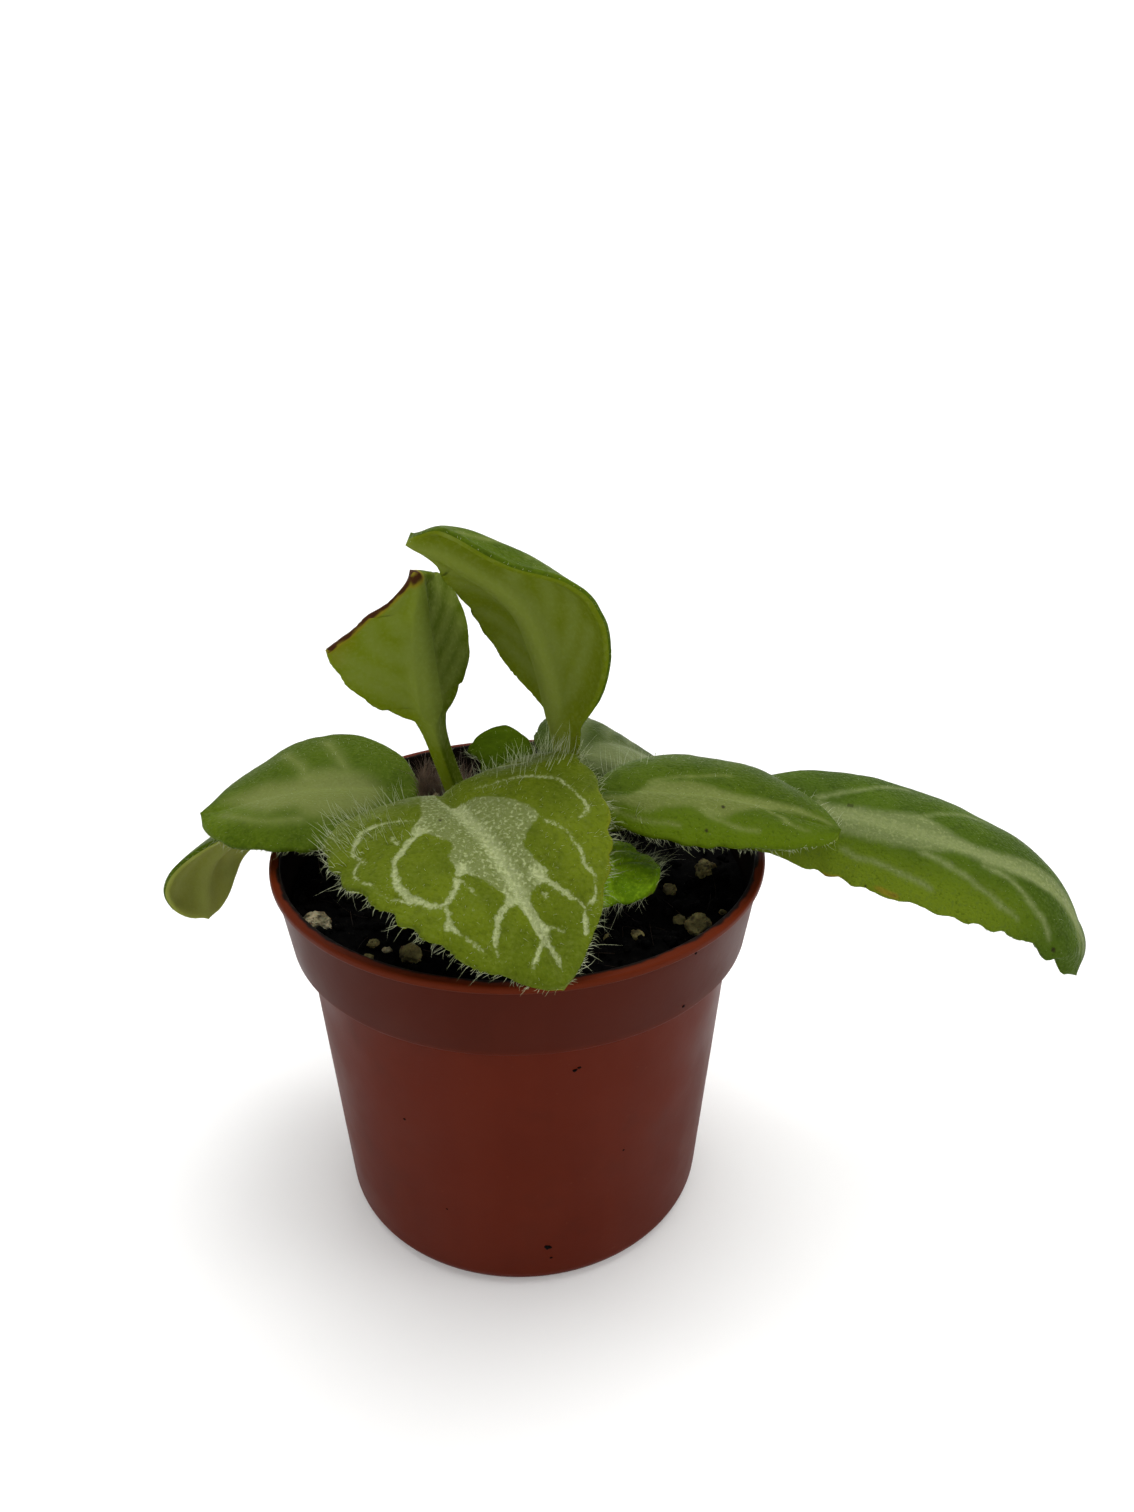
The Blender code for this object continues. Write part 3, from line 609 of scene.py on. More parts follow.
# %% Patterns drawn on the leaves
SILVER_PATCH = {
    "leaf_front": [
        (0.02, 0.16), (0.10, 0.20), (0.20, 0.24), (0.25, 0.30), (0.30, 0.42), (0.33, 0.40), (0.33, 0.32),
        (0.38, 0.28), (0.43, 0.25), (0.48, 0.35), (0.53, 0.36), (0.56, 0.38), (0.56, 0.31), (0.58, 0.28),
        (0.60, 0.22), (0.63, 0.19), (0.66, 0.15), (0.70, 0.15), (0.71, 0.08), (0.75, 0.06), (0.79, 0.03),
        (0.83, 0.01), (0.87, -0.03), (0.92, -0.09), (0.95, -0.17), (0.91, -0.18), (0.87, -0.13),
        (0.84, -0.11), (0.82, -0.16), (0.80, -0.12), (0.76, -0.08), (0.71, -0.08), (0.68, -0.15),
        (0.68, -0.26), (0.66, -0.30), (0.62, -0.28), (0.58, -0.24), (0.54, -0.20), (0.52, -0.24),
        (0.49, -0.31), (0.47, -0.42), (0.44, -0.42), (0.40, -0.37), (0.34, -0.31), (0.29, -0.24),
        (0.24, -0.12), (0.22, 0.00), (0.13, 0.06), (0.02, 0.06),
    ],
    "leaf_left": [
        (0.89, 0.27), (0.79, 0.23), (0.71, 0.24), (0.57, 0.17), (0.51, 0.25), (0.35, 0.25), (0.25, 0.19),
        (0.18, 0.02), (0.16, -0.30), (0.21, -0.50), (0.34, -0.58), (0.47, -0.54), (0.53, -0.42),
        (0.60, -0.39), (0.69, -0.40), (0.81, -0.06),
    ],
    "leaf_right": [
        (0.04, 0.22), (0.16, 0.25), (0.22, 0.00), (0.28, -0.14), (0.37, -0.18), (0.45, -0.17), (0.53, -0.11),
        (0.62, -0.08), (0.72, -0.14), (0.82, -0.22), (0.92, -0.24), (0.88, -0.14), (0.76, -0.01),
        (0.68, 0.20), (0.61, 0.38), (0.55, 0.52), (0.48, 0.49), (0.41, 0.40), (0.32, 0.46), (0.24, 0.57),
        (0.17, 0.48), (0.06, 0.42),
    ],
    "leaf_far_right": [
        (0.10, -0.10), (0.22, -0.12), (0.30, -0.12), (0.35, -0.15), (0.42, -0.20), (0.47, -0.28),
        (0.50, -0.27),
        (0.54, -0.20), (0.57, -0.14), (0.62, -0.10), (0.68, -0.18), (0.74, -0.26), (0.80, -0.34),
        (0.87, -0.38), (0.94, -0.30), (0.95, -0.12), (0.90, -0.11), (0.85, -0.04), (0.79, 0.03),
        (0.73, 0.08), (0.68, 0.10), (0.63, 0.12), (0.57, 0.10), (0.51, 0.19), (0.45, 0.27), (0.39, 0.29),
        (0.32, 0.32), (0.20, 0.28), (0.10, 0.16),
    ],
    "leaf_back_right": [
        (0.15, 0.15), (0.35, 0.02), (0.60, -0.05), (0.85, 0.05), (0.96, 0.30), (0.90, 0.60), (0.72, 0.80),
        (0.50, 0.85), (0.32, 0.70), (0.20, 0.45),
    ],
}
# Leaves that show no silver
PLAIN_GREEN = ["leaf_back", "leaf_small"]
PLAIN_PATCH = [
    (0.00, 0.18), (0.12, 0.20), (0.24, 0.27), (0.36, 0.20), (0.48, 0.24), (0.60, 0.15), (0.72, 0.13),
    (0.84, 0.05), (0.94, 0.00), (0.84, -0.06), (0.70, -0.12), (0.57, -0.20), (0.45, -0.22), (0.33, -0.27),
    (0.22, -0.20), (0.10, -0.20), (0.00, -0.18),
]

# Each branch is its points, then its width in mm at its start and at its end
SILVER_BRANCHES = {
    "leaf_front": [
        ([(0.24, 0.33), (0.21, 0.46), (0.20, 0.58), (0.21, 0.72), (0.25, 0.79), (0.30, 0.83)], 0.16, 0.29),
        ([(0.30, 0.83), (0.34, 0.79)], 0.20, 0.11),
        ([(0.31, 0.84), (0.36, 0.90), (0.44, 0.92), (0.52, 0.89), (0.59, 0.82)], 0.12, 0.09),
        ([(0.31, 0.37), (0.34, 0.47), (0.38, 0.58), (0.43, 0.71), (0.49, 0.77), (0.54, 0.78), (0.58, 0.79),
          (0.62, 0.70), (0.63, 0.61), (0.61, 0.52), (0.57, 0.42), (0.54, 0.33)], 0.57, 0.62),
        ([(0.63, 0.61), (0.68, 0.71), (0.72, 0.74), (0.76, 0.76), (0.81, 0.72)], 0.49, 0.14),
        ([(0.68, 0.71), (0.71, 0.77)], 0.36, 0.18),
        ([(0.49, -0.45), (0.53, -0.53), (0.58, -0.63), (0.65, -0.68), (0.70, -0.76), (0.75, -0.86),
          (0.78, -0.84), (0.79, -0.71)], 0.38, 0.24),
        ([(0.64, -0.23), (0.70, -0.35), (0.75, -0.53), (0.79, -0.68), (0.83, -0.70), (0.87, -0.77)],
         0.74, 0.21),
        ([(0.20, -0.22), (0.26, -0.44), (0.31, -0.60), (0.35, -0.70), (0.40, -0.74), (0.45, -0.80),
          (0.50, -0.82), (0.52, -0.72)], 0.13, 0.29),
        ([(0.07, -0.50), (0.13, -0.58), (0.19, -0.68)], 0.09, 0.09),
        ([(0.69, 0.07), (0.71, 0.21), (0.74, 0.35), (0.78, 0.48)], 0.71, 0.35),
        ([(0.78, 0.48), (0.84, 0.65)], 0.20, 0.09),
        ([(0.85, 0.02), (0.89, 0.25), (0.91, 0.44)], 0.33, 0.15),
        ([(0.80, -0.12), (0.84, -0.32)], 0.29, 0.11),
        ([(0.57, 0.40), (0.64, 0.34)], 0.21, 0.11),
        ([(0.29, 0.54), (0.32, 0.55)], 0.27, 0.21),
        ([(0.63, -0.28), (0.65, -0.32)], 0.25, 0.21),
        ([(0.71, -0.22), (0.72, -0.24)], 0.21, 0.20),
    ],
    "leaf_left": [
        ([(0.62, 0.72), (0.54, 0.42), (0.50, 0.20)], 0.35, 0.6),
        ([(0.42, 0.78), (0.36, 0.47), (0.32, 0.24)], 0.25, 0.5),
        ([(0.87, -0.29), (0.69, -0.55), (0.51, -0.57)], 0.2, 0.3),
    ],
    "leaf_right": [
        ([(0.47, 0.48), (0.54, 0.60), (0.61, 0.67), (0.70, 0.70)], 0.40, 0.20),
        ([(0.72, 0.15), (0.78, 0.25), (0.83, 0.41), (0.88, 0.48)], 0.35, 0.15),
        ([(0.79, 0.36), (0.85, 0.40)], 0.45, 0.25),
        ([(0.83, -0.17), (0.91, -0.22), (0.96, -0.20)], 0.30, 0.15),
        ([(0.26, -0.14), (0.33, -0.23), (0.45, -0.31), (0.56, -0.41)], 0.40, 0.10),
        ([(0.12, 0.66), (0.22, 0.75), (0.37, 0.74)], 0.25, 0.10),
    ],
    "leaf_far_right": [
        ([(0.26, -0.21), (0.30, -0.33), (0.35, -0.50), (0.41, -0.75), (0.45, -0.84)], 0.50, 0.20),
        ([(0.49, -0.30), (0.54, -0.51), (0.58, -0.66), (0.63, -0.81)], 0.35, 0.15),
        ([(0.33, 0.56), (0.39, 0.58), (0.46, 0.61), (0.54, 0.72)], 0.34, 0.24),
        ([(0.50, 0.27), (0.55, 0.31), (0.59, 0.38), (0.64, 0.50), (0.69, 0.61), (0.75, 0.74)], 0.36, 0.20),
        ([(0.63, 0.16), (0.69, 0.20), (0.75, 0.40), (0.81, 0.51), (0.86, 0.70)], 0.40, 0.22),
        ([(0.84, -0.16), (0.89, -0.10), (0.94, 0.08)], 0.25, 0.15),
    ],
}


def plain_branches(seed):
    """Four branches to each side of a leaf that has no drawing, none quite like its neighbour."""
    draw = np.random.default_rng(seed)
    parts = (0, 0.3, 0.6, 0.85, 1.0)
    made = []
    for side in (1, -1):
        for start in (0.08, 0.24, 0.42, 0.60):
            begin = start + draw.uniform(-0.02, 0.04)
            reach = draw.uniform(0.62, 0.82)
            path = [(begin + 0.26 * part ** 1.3, side * (0.08 + reach * part)) for part in parts]
            made.append((path, draw.uniform(0.35, 0.7), 0.12))
    return made


def pattern_of(leaf, index):
    patch = SILVER_PATCH.get(leaf.name, PLAIN_PATCH)
    return patch, SILVER_BRANCHES.get(leaf.name) or plain_branches(20 + index)


print("branches drawn on the front leaf:", len(SILVER_BRANCHES["leaf_front"]))


# %% [markdown]
# ## How far a point lies from the drawing
#
# On the real leaf the silver ends at a border, and the veins are lines. Both could be painted onto a
# picture, which this plant does without. Each point is measured against the lines instead, in mm on
# the blade laid flat, so that a line keeps its width where the leaf narrows.

# %% Distances to the drawing
OUT_OF_REACH = 9.0


def laid_flat(leaf, spine, share, across):
    """Leaf coordinates as mm on the blade laid flat."""
    along = leaf.stalk + share * spine.blade
    return np.stack([share * spine.blade, across * half_width(leaf, spine, along, across)], axis=-1)


def far_from_line(points, line):
    """For each point: mm to a line of close points, and the nearest share of the line."""
    nearest = np.full(len(points), 1e9)
    where = np.zeros(len(points))
    for index, (one, two) in enumerate(zip(line, line[1:])):
        run = two - one
        part = np.clip(((points - one) @ run) / max(run @ run, 1e-9), 0, 1)
        away = np.linalg.norm(points - one - part[:, None] * run, axis=1)
        closer = away < nearest
        nearest[closer] = away[closer]
        where[closer] = (index + part[closer]) / (len(line) - 1)
    return nearest, where


def inside(points, outline_points):
    """Whether each point lies inside an outline, by counting how often a ray from it crosses."""
    crossed = np.zeros(len(points), bool)
    for one, two in zip(outline_points, np.roll(outline_points, -1, axis=0)):
        spans = (one[1] > points[:, 1]) != (two[1] > points[:, 1])
        slope = (two[0] - one[0]) / (two[1] - one[1] if two[1] != one[1] else 1e-9)
        crossed ^= spans & (points[:, 0] < one[0] + slope * (points[:, 1] - one[1]))
    return crossed


def drawn_distances(leaf, spine, index, share, across):
    """For each point: mm to the silver's border, negative inside it, and mm to the nearest vein."""
    points = laid_flat(leaf, spine, share, across)
    patch, branches = pattern_of(leaf, index)
    corners = smooth_path(patch + patch[:1], steps=3)
    border = laid_flat(leaf, spine, corners[:, 0], corners[:, 1])
    silver, _ = far_from_line(points, border)
    silver = np.where(inside(points, border), -silver, silver)
    midrib = laid_flat(leaf, spine, np.linspace(-0.1, 0.98, 12), np.zeros(12))
    vein, _ = far_from_line(points, midrib)
    for path, wide, narrow in branches:
        line = smooth_path(path, steps=5)
        away, where = far_from_line(points, laid_flat(leaf, spine, line[:, 0], line[:, 1]))
        silver = np.minimum(silver, away - (wide + (narrow - wide) * where) / 2)
        vein = np.minimum(vein, away)
    return silver + OUT_OF_REACH * (leaf.name in PLAIN_GREEN), vein


drawn = drawn_distances(front, front_spine, 0, np.array([0.5]), np.array([0.0]))
print("mm to the silver's border and to a vein in mid-blade:", [round(float(part[0]), 2) for part in drawn])


# %% [markdown]
# ## Leaf flesh and finishes
#
# The upper skin is dull, mottled green, and grainy where it is silver. Each bump there is a raised cell or
# the foot of a hair, and their sparkle is painted into the colour as fine pale grains, a painted glint. Age
# shows as yellow and brown at some margins, and on some leaves one half is given another green as painted
# light and shade. The underside is a paler, more muted olive with raised veins, with painted shade on one
# half. Both are drawn by noise, by the distances the mesh keeps, and by how worn the leaf is at each point.

# %% Finishes of the leaves
FRAY = 0.75
YELLOW = srgb(120, 108, 26)
DEAD = srgb(58, 33, 17)


def aged(tree, colour, unevenness):
    """Yellow and then brown where the leaf is worn, dark specks, and dark brown at the stalk's foot."""
    age = kept(tree, "age")
    colour = blend(tree, ramp(tree, kept(tree, "foot"), 0.15, 0.75, 0.0, 0.85), colour, srgb(48, 35, 24))
    colour = blend(tree, ramp(tree, age, 0.05, 0.5, 0.0, 0.85), colour, YELLOW)
    dead = ramp(tree, sums(tree, age, sums(tree, unevenness, -0.5)), 0.45, 0.95)
    colour = blend(tree, dead, colour, DEAD)
    speck = sums(tree, kept(tree, "speck"), sums(tree, sums(tree, unevenness, -0.5), 0.4, "MULTIPLY"))
    return blend(tree, ramp(tree, speck, 0.12, -0.12, 0.0, 0.9), colour, srgb(34, 24, 12))


def upper_finish(name, green, deep, silver, vein_silver_and_glint, softness, sparkle=0.3, painted_half_light=None,
                 gloss=0.03, fades=False):
    """The upper skin: mottled green, frayed silver along the veins with painted glints, brown where worn,
    and painted light and shade on one half.
    """
    made, tree, shader = new_finish(
        name, Specular_IOR_Level=gloss, Subsurface_Weight=0.10, Subsurface_Scale=0.8 * MM,
    )
    shader.inputs["Subsurface Radius"].default_value = (0.6, 1.0, 0.10)
    fine = grain(tree, 0.20, 3.0, 0.65)
    middle = grain(tree, 0.9, 2.0)
    green_mix = blend(tree, ramp(tree, grain(tree, 4.0, 2.0), 0.32, 0.68), green, deep)
    darker = tuple(0.7 * value for value in deep)
    green_mix = blend(tree, ramp(tree, grain(tree, 0.55, 3.0), 0.50, 0.72, 0.0, 0.5), green_mix, darker)
    # Painted light and shade: one half of the blade takes another green, lighter on the right and far leaves
    # and darker on the left leaf, for how that half faces the lamp
    if painted_half_light:
        there = ramp(tree, kept(tree, "half"), 0.1, 0.9)
        if fades:
            there = sums(tree, there, ramp(tree, kept(tree, "reach"), 0.9, 0.6), "MULTIPLY")
        green_mix = blend(tree, there, green_mix, painted_half_light)
    pale_green = tuple(0.74 * a + 0.26 * b for a, b in zip(green, silver))
    green_mix = blend(tree, ramp(tree, fine, 0.48, 0.72, 0.0, 0.6), green_mix, pale_green)
    green_mix = blend(tree, ramp(tree, fine, 0.46, 0.30, 0.0, 0.5), green_mix, tuple(0.55 * a for a in deep))
    vein_tint = ramp(tree, kept(tree, "vein"), 0.0, 0.45, 0.30, 0.0)
    green_mix = blend(tree, vein_tint, green_mix, pale_green)
    # The silver ends in a ragged edge, with loose sparks beyond it
    edge = kept(tree, "silver")
    frayed = sums(tree, edge, sums(tree, sums(tree, middle, -0.5), FRAY, "MULTIPLY"))
    frayed = sums(tree, frayed, sums(tree, sums(tree, fine, -0.5), 1.1, "MULTIPLY"))
    covered = ramp(tree, frayed, softness, -softness)
    covered = sums(tree, covered, ramp(tree, fine, 0.30, 0.52, 1 - 0.55 * sparkle, 1.0), "MULTIPLY")
    sparks = ramp(tree, cells(tree, 0.42), 0.18, 0.07, 0.0, 0.6 * sparkle)
    sparks = sums(tree, sparks, ramp(tree, edge, 1.2, 0.1), "MULTIPLY")
    covered = sums(tree, covered, sparks, "MAXIMUM")
    # The silver is lighter along the veins, and lighter still in fine grains: painted glints off its bumps
    by_vein = ramp(tree, kept(tree, "vein"), 0.2, 1.6, 0.6, 0.0)
    vein_and_glint_share = sums(tree, by_vein, ramp(tree, grain(tree, 0.18, 2.5), 0.46, 0.72, 0.0, 0.75))
    silver_mix = blend(tree, ramp(tree, vein_and_glint_share, 0.0, 1.0), silver, vein_silver_and_glint)
    colour = aged(tree, blend(tree, covered, green_mix, silver_mix), middle)
    tree.links.new(colour, shader.inputs["Base Color"])
    tree.links.new(ramp(tree, fine, 0.35, 0.65, 0.58, 0.42), shader.inputs["Roughness"])
    pebbles = sums(tree, fine, sums(tree, cells(tree, 0.34), 0.7, "MULTIPLY"), "SUBTRACT")
    relief(tree, shader, pebbles, 0.08)
    return made


def under_finish(name, olive, dull, shaded_half_share=0.5):
    """The underside: matt olive with paler raised veins. One half of the blade may be darker, as painted
    shade.
    """
    made, tree, shader = new_finish(
        name, Specular_IOR_Level=0.01, Subsurface_Weight=0.12, Subsurface_Scale=1.0 * MM,
    )
    shader.inputs["Subsurface Radius"].default_value = (0.6, 1.0, 0.10)
    fine = grain(tree, 0.25, 3.0, 0.6)
    # Painted shade: the second olive lies on one half of the blade, wholly on the yellowing leaf, mixed with
    # broad mottling
    half_shade_and_mottle = ramp(tree, kept(tree, "half"), 0.12, -0.12, 0.5 - shaded_half_share / 2, 0.5 + shaded_half_share / 2)
    half_shade_and_mottle = sums(tree, half_shade_and_mottle, sums(tree, sums(tree, grain(tree, 5.0, 2.0), -0.5), 0.9, "MULTIPLY"))
    colour = blend(tree, half_shade_and_mottle, olive, dull)
    pale = tuple(0.55 * value + 0.45 * light for value, light in zip(olive, srgb(140, 150, 92)))
    # Veins and the silver above show through as soft pale streaks
    shows = ramp(tree, kept(tree, "vein"), 0.0, 2.0, 0.38, 0.0)
    shows = sums(tree, shows, ramp(tree, kept(tree, "silver"), 1.0, -1.2, 0.0, 0.45), "MAXIMUM")
    colour = blend(tree, shows, colour, pale)
    colour = blend(tree, ramp(tree, fine, 0.42, 0.75, 0.0, 0.28), colour, pale)
    tree.links.new(aged(tree, colour, grain(tree, 0.8)), shader.inputs["Base Color"])
    tree.links.new(ramp(tree, fine, 0.35, 0.65, 0.70, 0.54), shader.inputs["Roughness"])
    relief(tree, shader, fine, 0.05)
    return made


# For the left, right and far leaves the last colour is painted light and shade on one half of the blade
GREENS = {
    "leaf_front": upper_finish(
        "front leaf skin", srgb(87, 100, 13), srgb(73, 86, 9), srgb(101, 110, 62), srgb(152, 160, 114), 0.16,
        0.8),
    "leaf_left": upper_finish(
        "left leaf skin", srgb(75, 93, 9), srgb(60, 78, 6), srgb(98, 107, 53), srgb(105, 114, 60), 1.6, 0.1,
        srgb(60, 77, 2)),
    "leaf_right": upper_finish(
        "right leaf skin", srgb(64, 82, 3), srgb(52, 70, 4), srgb(89, 99, 44), srgb(103, 113, 58), 0.6, 0.3,
        srgb(74, 93, 5)),
    "leaf_far_right": upper_finish(
        "far leaf skin", srgb(64, 84, 12), srgb(52, 71, 9), srgb(96, 107, 62), srgb(116, 126, 78), 0.6, 0.3,
        srgb(94, 111, 20), fades=True),
    # The two back leaves have darker greens than the rest: painted shade, as they lie in the shade of the
    # others
    "leaf_back": upper_finish(
        "back leaf skin", srgb(52, 68, 7), srgb(42, 57, 5), srgb(66, 84, 12), srgb(66, 84, 12), 0.4,
        gloss=0.0),
    "leaf_back_right": upper_finish(
        "back right leaf skin", srgb(48, 63, 6), srgb(40, 55, 5), srgb(90, 99, 60), srgb(96, 105, 66), 2.2,
        0.1),
    # The young leaf is a light green, painted lighter still: painted light against the shade it lies in
    # below the right leaf
    "leaf_small": upper_finish(
        "young leaf skin", srgb(138, 174, 24), srgb(90, 124, 10), srgb(146, 176, 40), srgb(146, 176, 40),
        0.4),
    "others": upper_finish(
        "leaf skin", srgb(68, 86, 2), srgb(55, 73, 4), srgb(92, 102, 46), srgb(108, 118, 62), 0.6, 0.3),
}
OLIVES = {
    "others": under_finish("leaf underside", srgb(96, 108, 18), srgb(88, 100, 12)),
    # The yellowing underside's second olive is far darker: painted shade on the half that turns from the
    # light
    "leaf_upright_left": under_finish("yellowing underside", srgb(96, 110, 12), srgb(64, 78, 1), 1.0),
    "leaf_low_left": under_finish("pale underside", srgb(130, 136, 64), srgb(118, 125, 52)),
}
print("leaf finishes:", len(GREENS) + len(OLIVES))

# %% [markdown]
# ## The leaves as closed bodies
#
# A leaf could be a sheet with a Solidify modifier. Here it is lofted ring by ring instead, so that the
# stalk is round, the blade is 0.9 mm thick with a soft rounded margin, and the keel stands out below.
# The veins lie in shallow furrows on top, and the flesh swells a little between them.

# %% Lofting a leaf
BLADE_THICKNESS = 0.9
STALK_THICKNESS = 2.6
KEEL_FADE = 0.85
MARGIN_ROUND = 0.42
TIP_END = 0.03
STALK_CROWN = 0.45
FURROW_WIDTH = 0.30
SWELL_WIDTH = 1.5
STALK_FOOT = 7.0
# Rows along a blade and points across its top
BLADE_MESH = (110, 68)
FRONT_BLADE_MESH = (150, 96)
# Depth of the furrows over the veins, and how high the flesh swells between them
RELIEF = {"leaf_front": (0.12, 0.12), "leaf_small": (0.22, 0.20), "leaf_upright_left": (0.015, 0.02),
          "leaf_upright_right": (0.015, 0.02), "leaf_low_left": (0.03, 0.03)}
PLAIN_RELIEF = (0.05, 0.07)
# Worn stretches: start and end as share and across, width in mm, strength
AGES = {
    "leaf_upright_left": [((0.55, 1.0), (0.97, 1.0), 0.32, 1.0), ((0.50, 0.9), (0.60, 0.9), 1.8, 0.2),
                          ((0.96, 0.7), (0.985, 0.1), 0.7, 0.95)],
    "leaf_far_right": [((0.30, 0.97), (0.34, 1.0), 0.35, 0.62), ((0.43, 0.90), (0.47, 0.92), 0.35, 0.62),
                       ((0.36, 1.0), (0.50, 1.0), 0.6, 0.15)],
    "leaf_front": [((0.45, -1.0), (0.80, -1.0), 0.6, 0.2)],
}
# Small dark specks: share, across and radius in mm
LEAF_SPECKS = {
    "leaf_front": [(0.288, 0.17, 0.24)],
    "leaf_right": [(0.54, 0.33, 0.26), (0.48, 0.76, 0.22)],
    "leaf_far_right": [(0.33, -0.15, 0.36), (0.89, 0.74, 0.30), (0.41, 0.70, 0.18), (0.40, 0.97, 0.26),
                       (0.50, 0.97, 0.30)],
    "leaf_upright_left": [(0.52, -0.10, 0.30)],
}


def speck_distance(leaf, spine, share, across):
    """Distance in mm from each point to the rim of the nearest speck, negative inside it."""
    points = laid_flat(leaf, spine, share, across)
    away = np.full(len(points), OUT_OF_REACH)
    for middle, side, radius in LEAF_SPECKS.get(leaf.name, []):
        place = laid_flat(leaf, spine, np.array([middle]), np.array([side]))[0]
        away = np.minimum(away, np.linalg.norm(points - place, axis=1) - radius)
    return away


def body_thickness(leaf, share, across, width):
    """The leaf's thickness, greatest along the stalk and the midrib's keel."""
    off_keel = abs(across) * width / (0.75 * leaf.stalk_half)
    keel = np.exp(-off_keel ** 2) * (1 - KEEL_FADE * share)
    return BLADE_THICKNESS + (STALK_THICKNESS - BLADE_THICKNESS) * keel


def worn(leaf, spine, share, across):
    """How old each point looks, from 0 to 1, by its distance to the worn stretches of the margin."""
    points = laid_flat(leaf, spine, share, across)
    age = np.zeros(len(points))
    for start, end, width, strength in AGES.get(leaf.name, []):
        path = np.linspace(start, end, 9)
        away, _ = far_from_line(points, laid_flat(leaf, spine, path[:, 0], path[:, 1]))
        age = np.maximum(age, strength * np.exp(-(away / width) ** 2))
    return age


def rows_of(leaf, spine, count):
    """Distances along the spine, close together at the blade's foot and tip."""
    stalk_rows = max(10, count // 6)
    stalk = np.linspace(0, leaf.stalk, stalk_rows, endpoint=False)
    even = np.linspace(0, 1, count)
    eased = 0.55 * even + 0.45 * (1 - np.cos(pi * even)) / 2
    return np.concatenate([stalk, leaf.stalk + (spine.blade - TIP_END) * eased])


def ring_of(count_top, count_under):
    """Across and side of each point of one ring: over the top to the right, and back underneath."""
    top = np.sin(np.linspace(-1, 1, count_top) * pi / 2) * 0.5 + np.linspace(-1, 1, count_top) * 0.5
    under = np.sin(np.linspace(1, -1, count_under + 2)[1:-1] * pi / 2) * 0.5
    under = under + np.linspace(1, -1, count_under + 2)[1:-1] * 0.5
    across = np.concatenate([top, under])
    side = np.concatenate([np.ones(count_top), -np.ones(count_under)])
    return across, side


def build_leaf(leaf, index, count, count_top):
    spine = Spine(leaf)
    rows = rows_of(leaf, spine, count)
    ring, side = ring_of(count_top, count_top // 2)
    along, across = (grid.ravel() for grid in np.meshgrid(rows, ring, indexing="ij"))
    under = np.tile(side, len(rows)) < 0
    share = blade_share(leaf, spine, along)
    held = np.clip(share, 0, 1)
    width = half_width(leaf, spine, along, across)
    spread = spread_of(leaf, width)
    silver, vein = drawn_distances(leaf, spine, index, share, across)
    points = leaf_surface(leaf, spine, along, across)
    normal = leaf_normal(leaf, spine, along, across)
    # The rounded margin: both skins meet halfway through the leaf's thickness
    bend = spread * MARGIN_ROUND + (1 - spread) * width
    edge = np.clip((abs(across) * width - (width - bend)) / np.maximum(bend, 0.01), 0, 1)
    full = np.sqrt(1 - edge ** 2)
    thick = body_thickness(leaf, held, across, width)
    crown = STALK_CROWN * (1 - spread) * (1 - across ** 2)
    half = 0.5 * np.minimum(thick, BLADE_THICKNESS)
    depth, swell = RELIEF.get(leaf.name, PLAIN_RELIEF)
    furrow = -depth * np.exp(-(vein / FURROW_WIDTH) ** 2) + swell * (1 - np.exp(-(vein / SWELL_WIDTH) ** 2))
    uneven = depth * (lumps(points, 2.6, index) + 0.4 * lumps(points, 0.9, index + 5))
    top = crown - half * (1 - full) + (furrow + uneven) * spread * full
    low = -half - (thick - half) * full + 0.5 * depth * lumps(points, 1.4, index + 9) * full
    low = low - depth * np.exp(-(vein / 0.5) ** 2) * spread * full
    points = points + normal * np.where(under, low, top)[:, None]
    size = len(ring)
    faces = []
    for row in range(len(rows) - 1):
        base = row * size
        faces += [(base + col, base + (col + 1) % size, base + size + (col + 1) % size, base + size + col)
                  for col in range(size)]
    faces += [tuple(range(size))[::-1], tuple(range((len(rows) - 1) * size, len(rows) * size))]
    below = [0 if face[0] % size < count_top - 1 else 1 for face in faces[:-2]] + [0, 0]
    skins = [GREENS.get(leaf.name, GREENS["others"]), OLIVES.get(leaf.name, OLIVES["others"])]
    age = worn(leaf, spine, share, across)
    foot = 1 - np.clip(along / STALK_FOOT, 0, 1)
    speck = speck_distance(leaf, spine, share, across)
    kept_numbers = {"silver": silver, "vein": vein, "age": age, "half": across, "foot": foot, "speck": speck,
                    "reach": share}
    return make_piece(leaf.name + "_blade", points, faces, skins, [leaf.name], kept_numbers, below)


total = 0
for index, leaf in enumerate(LEAVES):
    rows, points_across = FRONT_BLADE_MESH if leaf.name == "leaf_front" else BLADE_MESH
    blade = build_leaf(leaf, index, rows, points_across)
    total += triangles(blade)
    print(leaf.name, triangles(blade), "triangles")
print("leaf triangles:", total)

# %% [markdown]
# ## Hairs
#
# Nearly every part of a primulina is hairy. Long soft white hairs fringe the margins and stalks, and
# short ones stand on the skin. Blender has hair curves for this, but an exported model loses them, so
# each hair is a thin three-sided spike of a few segments that bends as it goes. Roots are drawn at
# random with a fixed seed, so that the plant grows the same hairs every time.


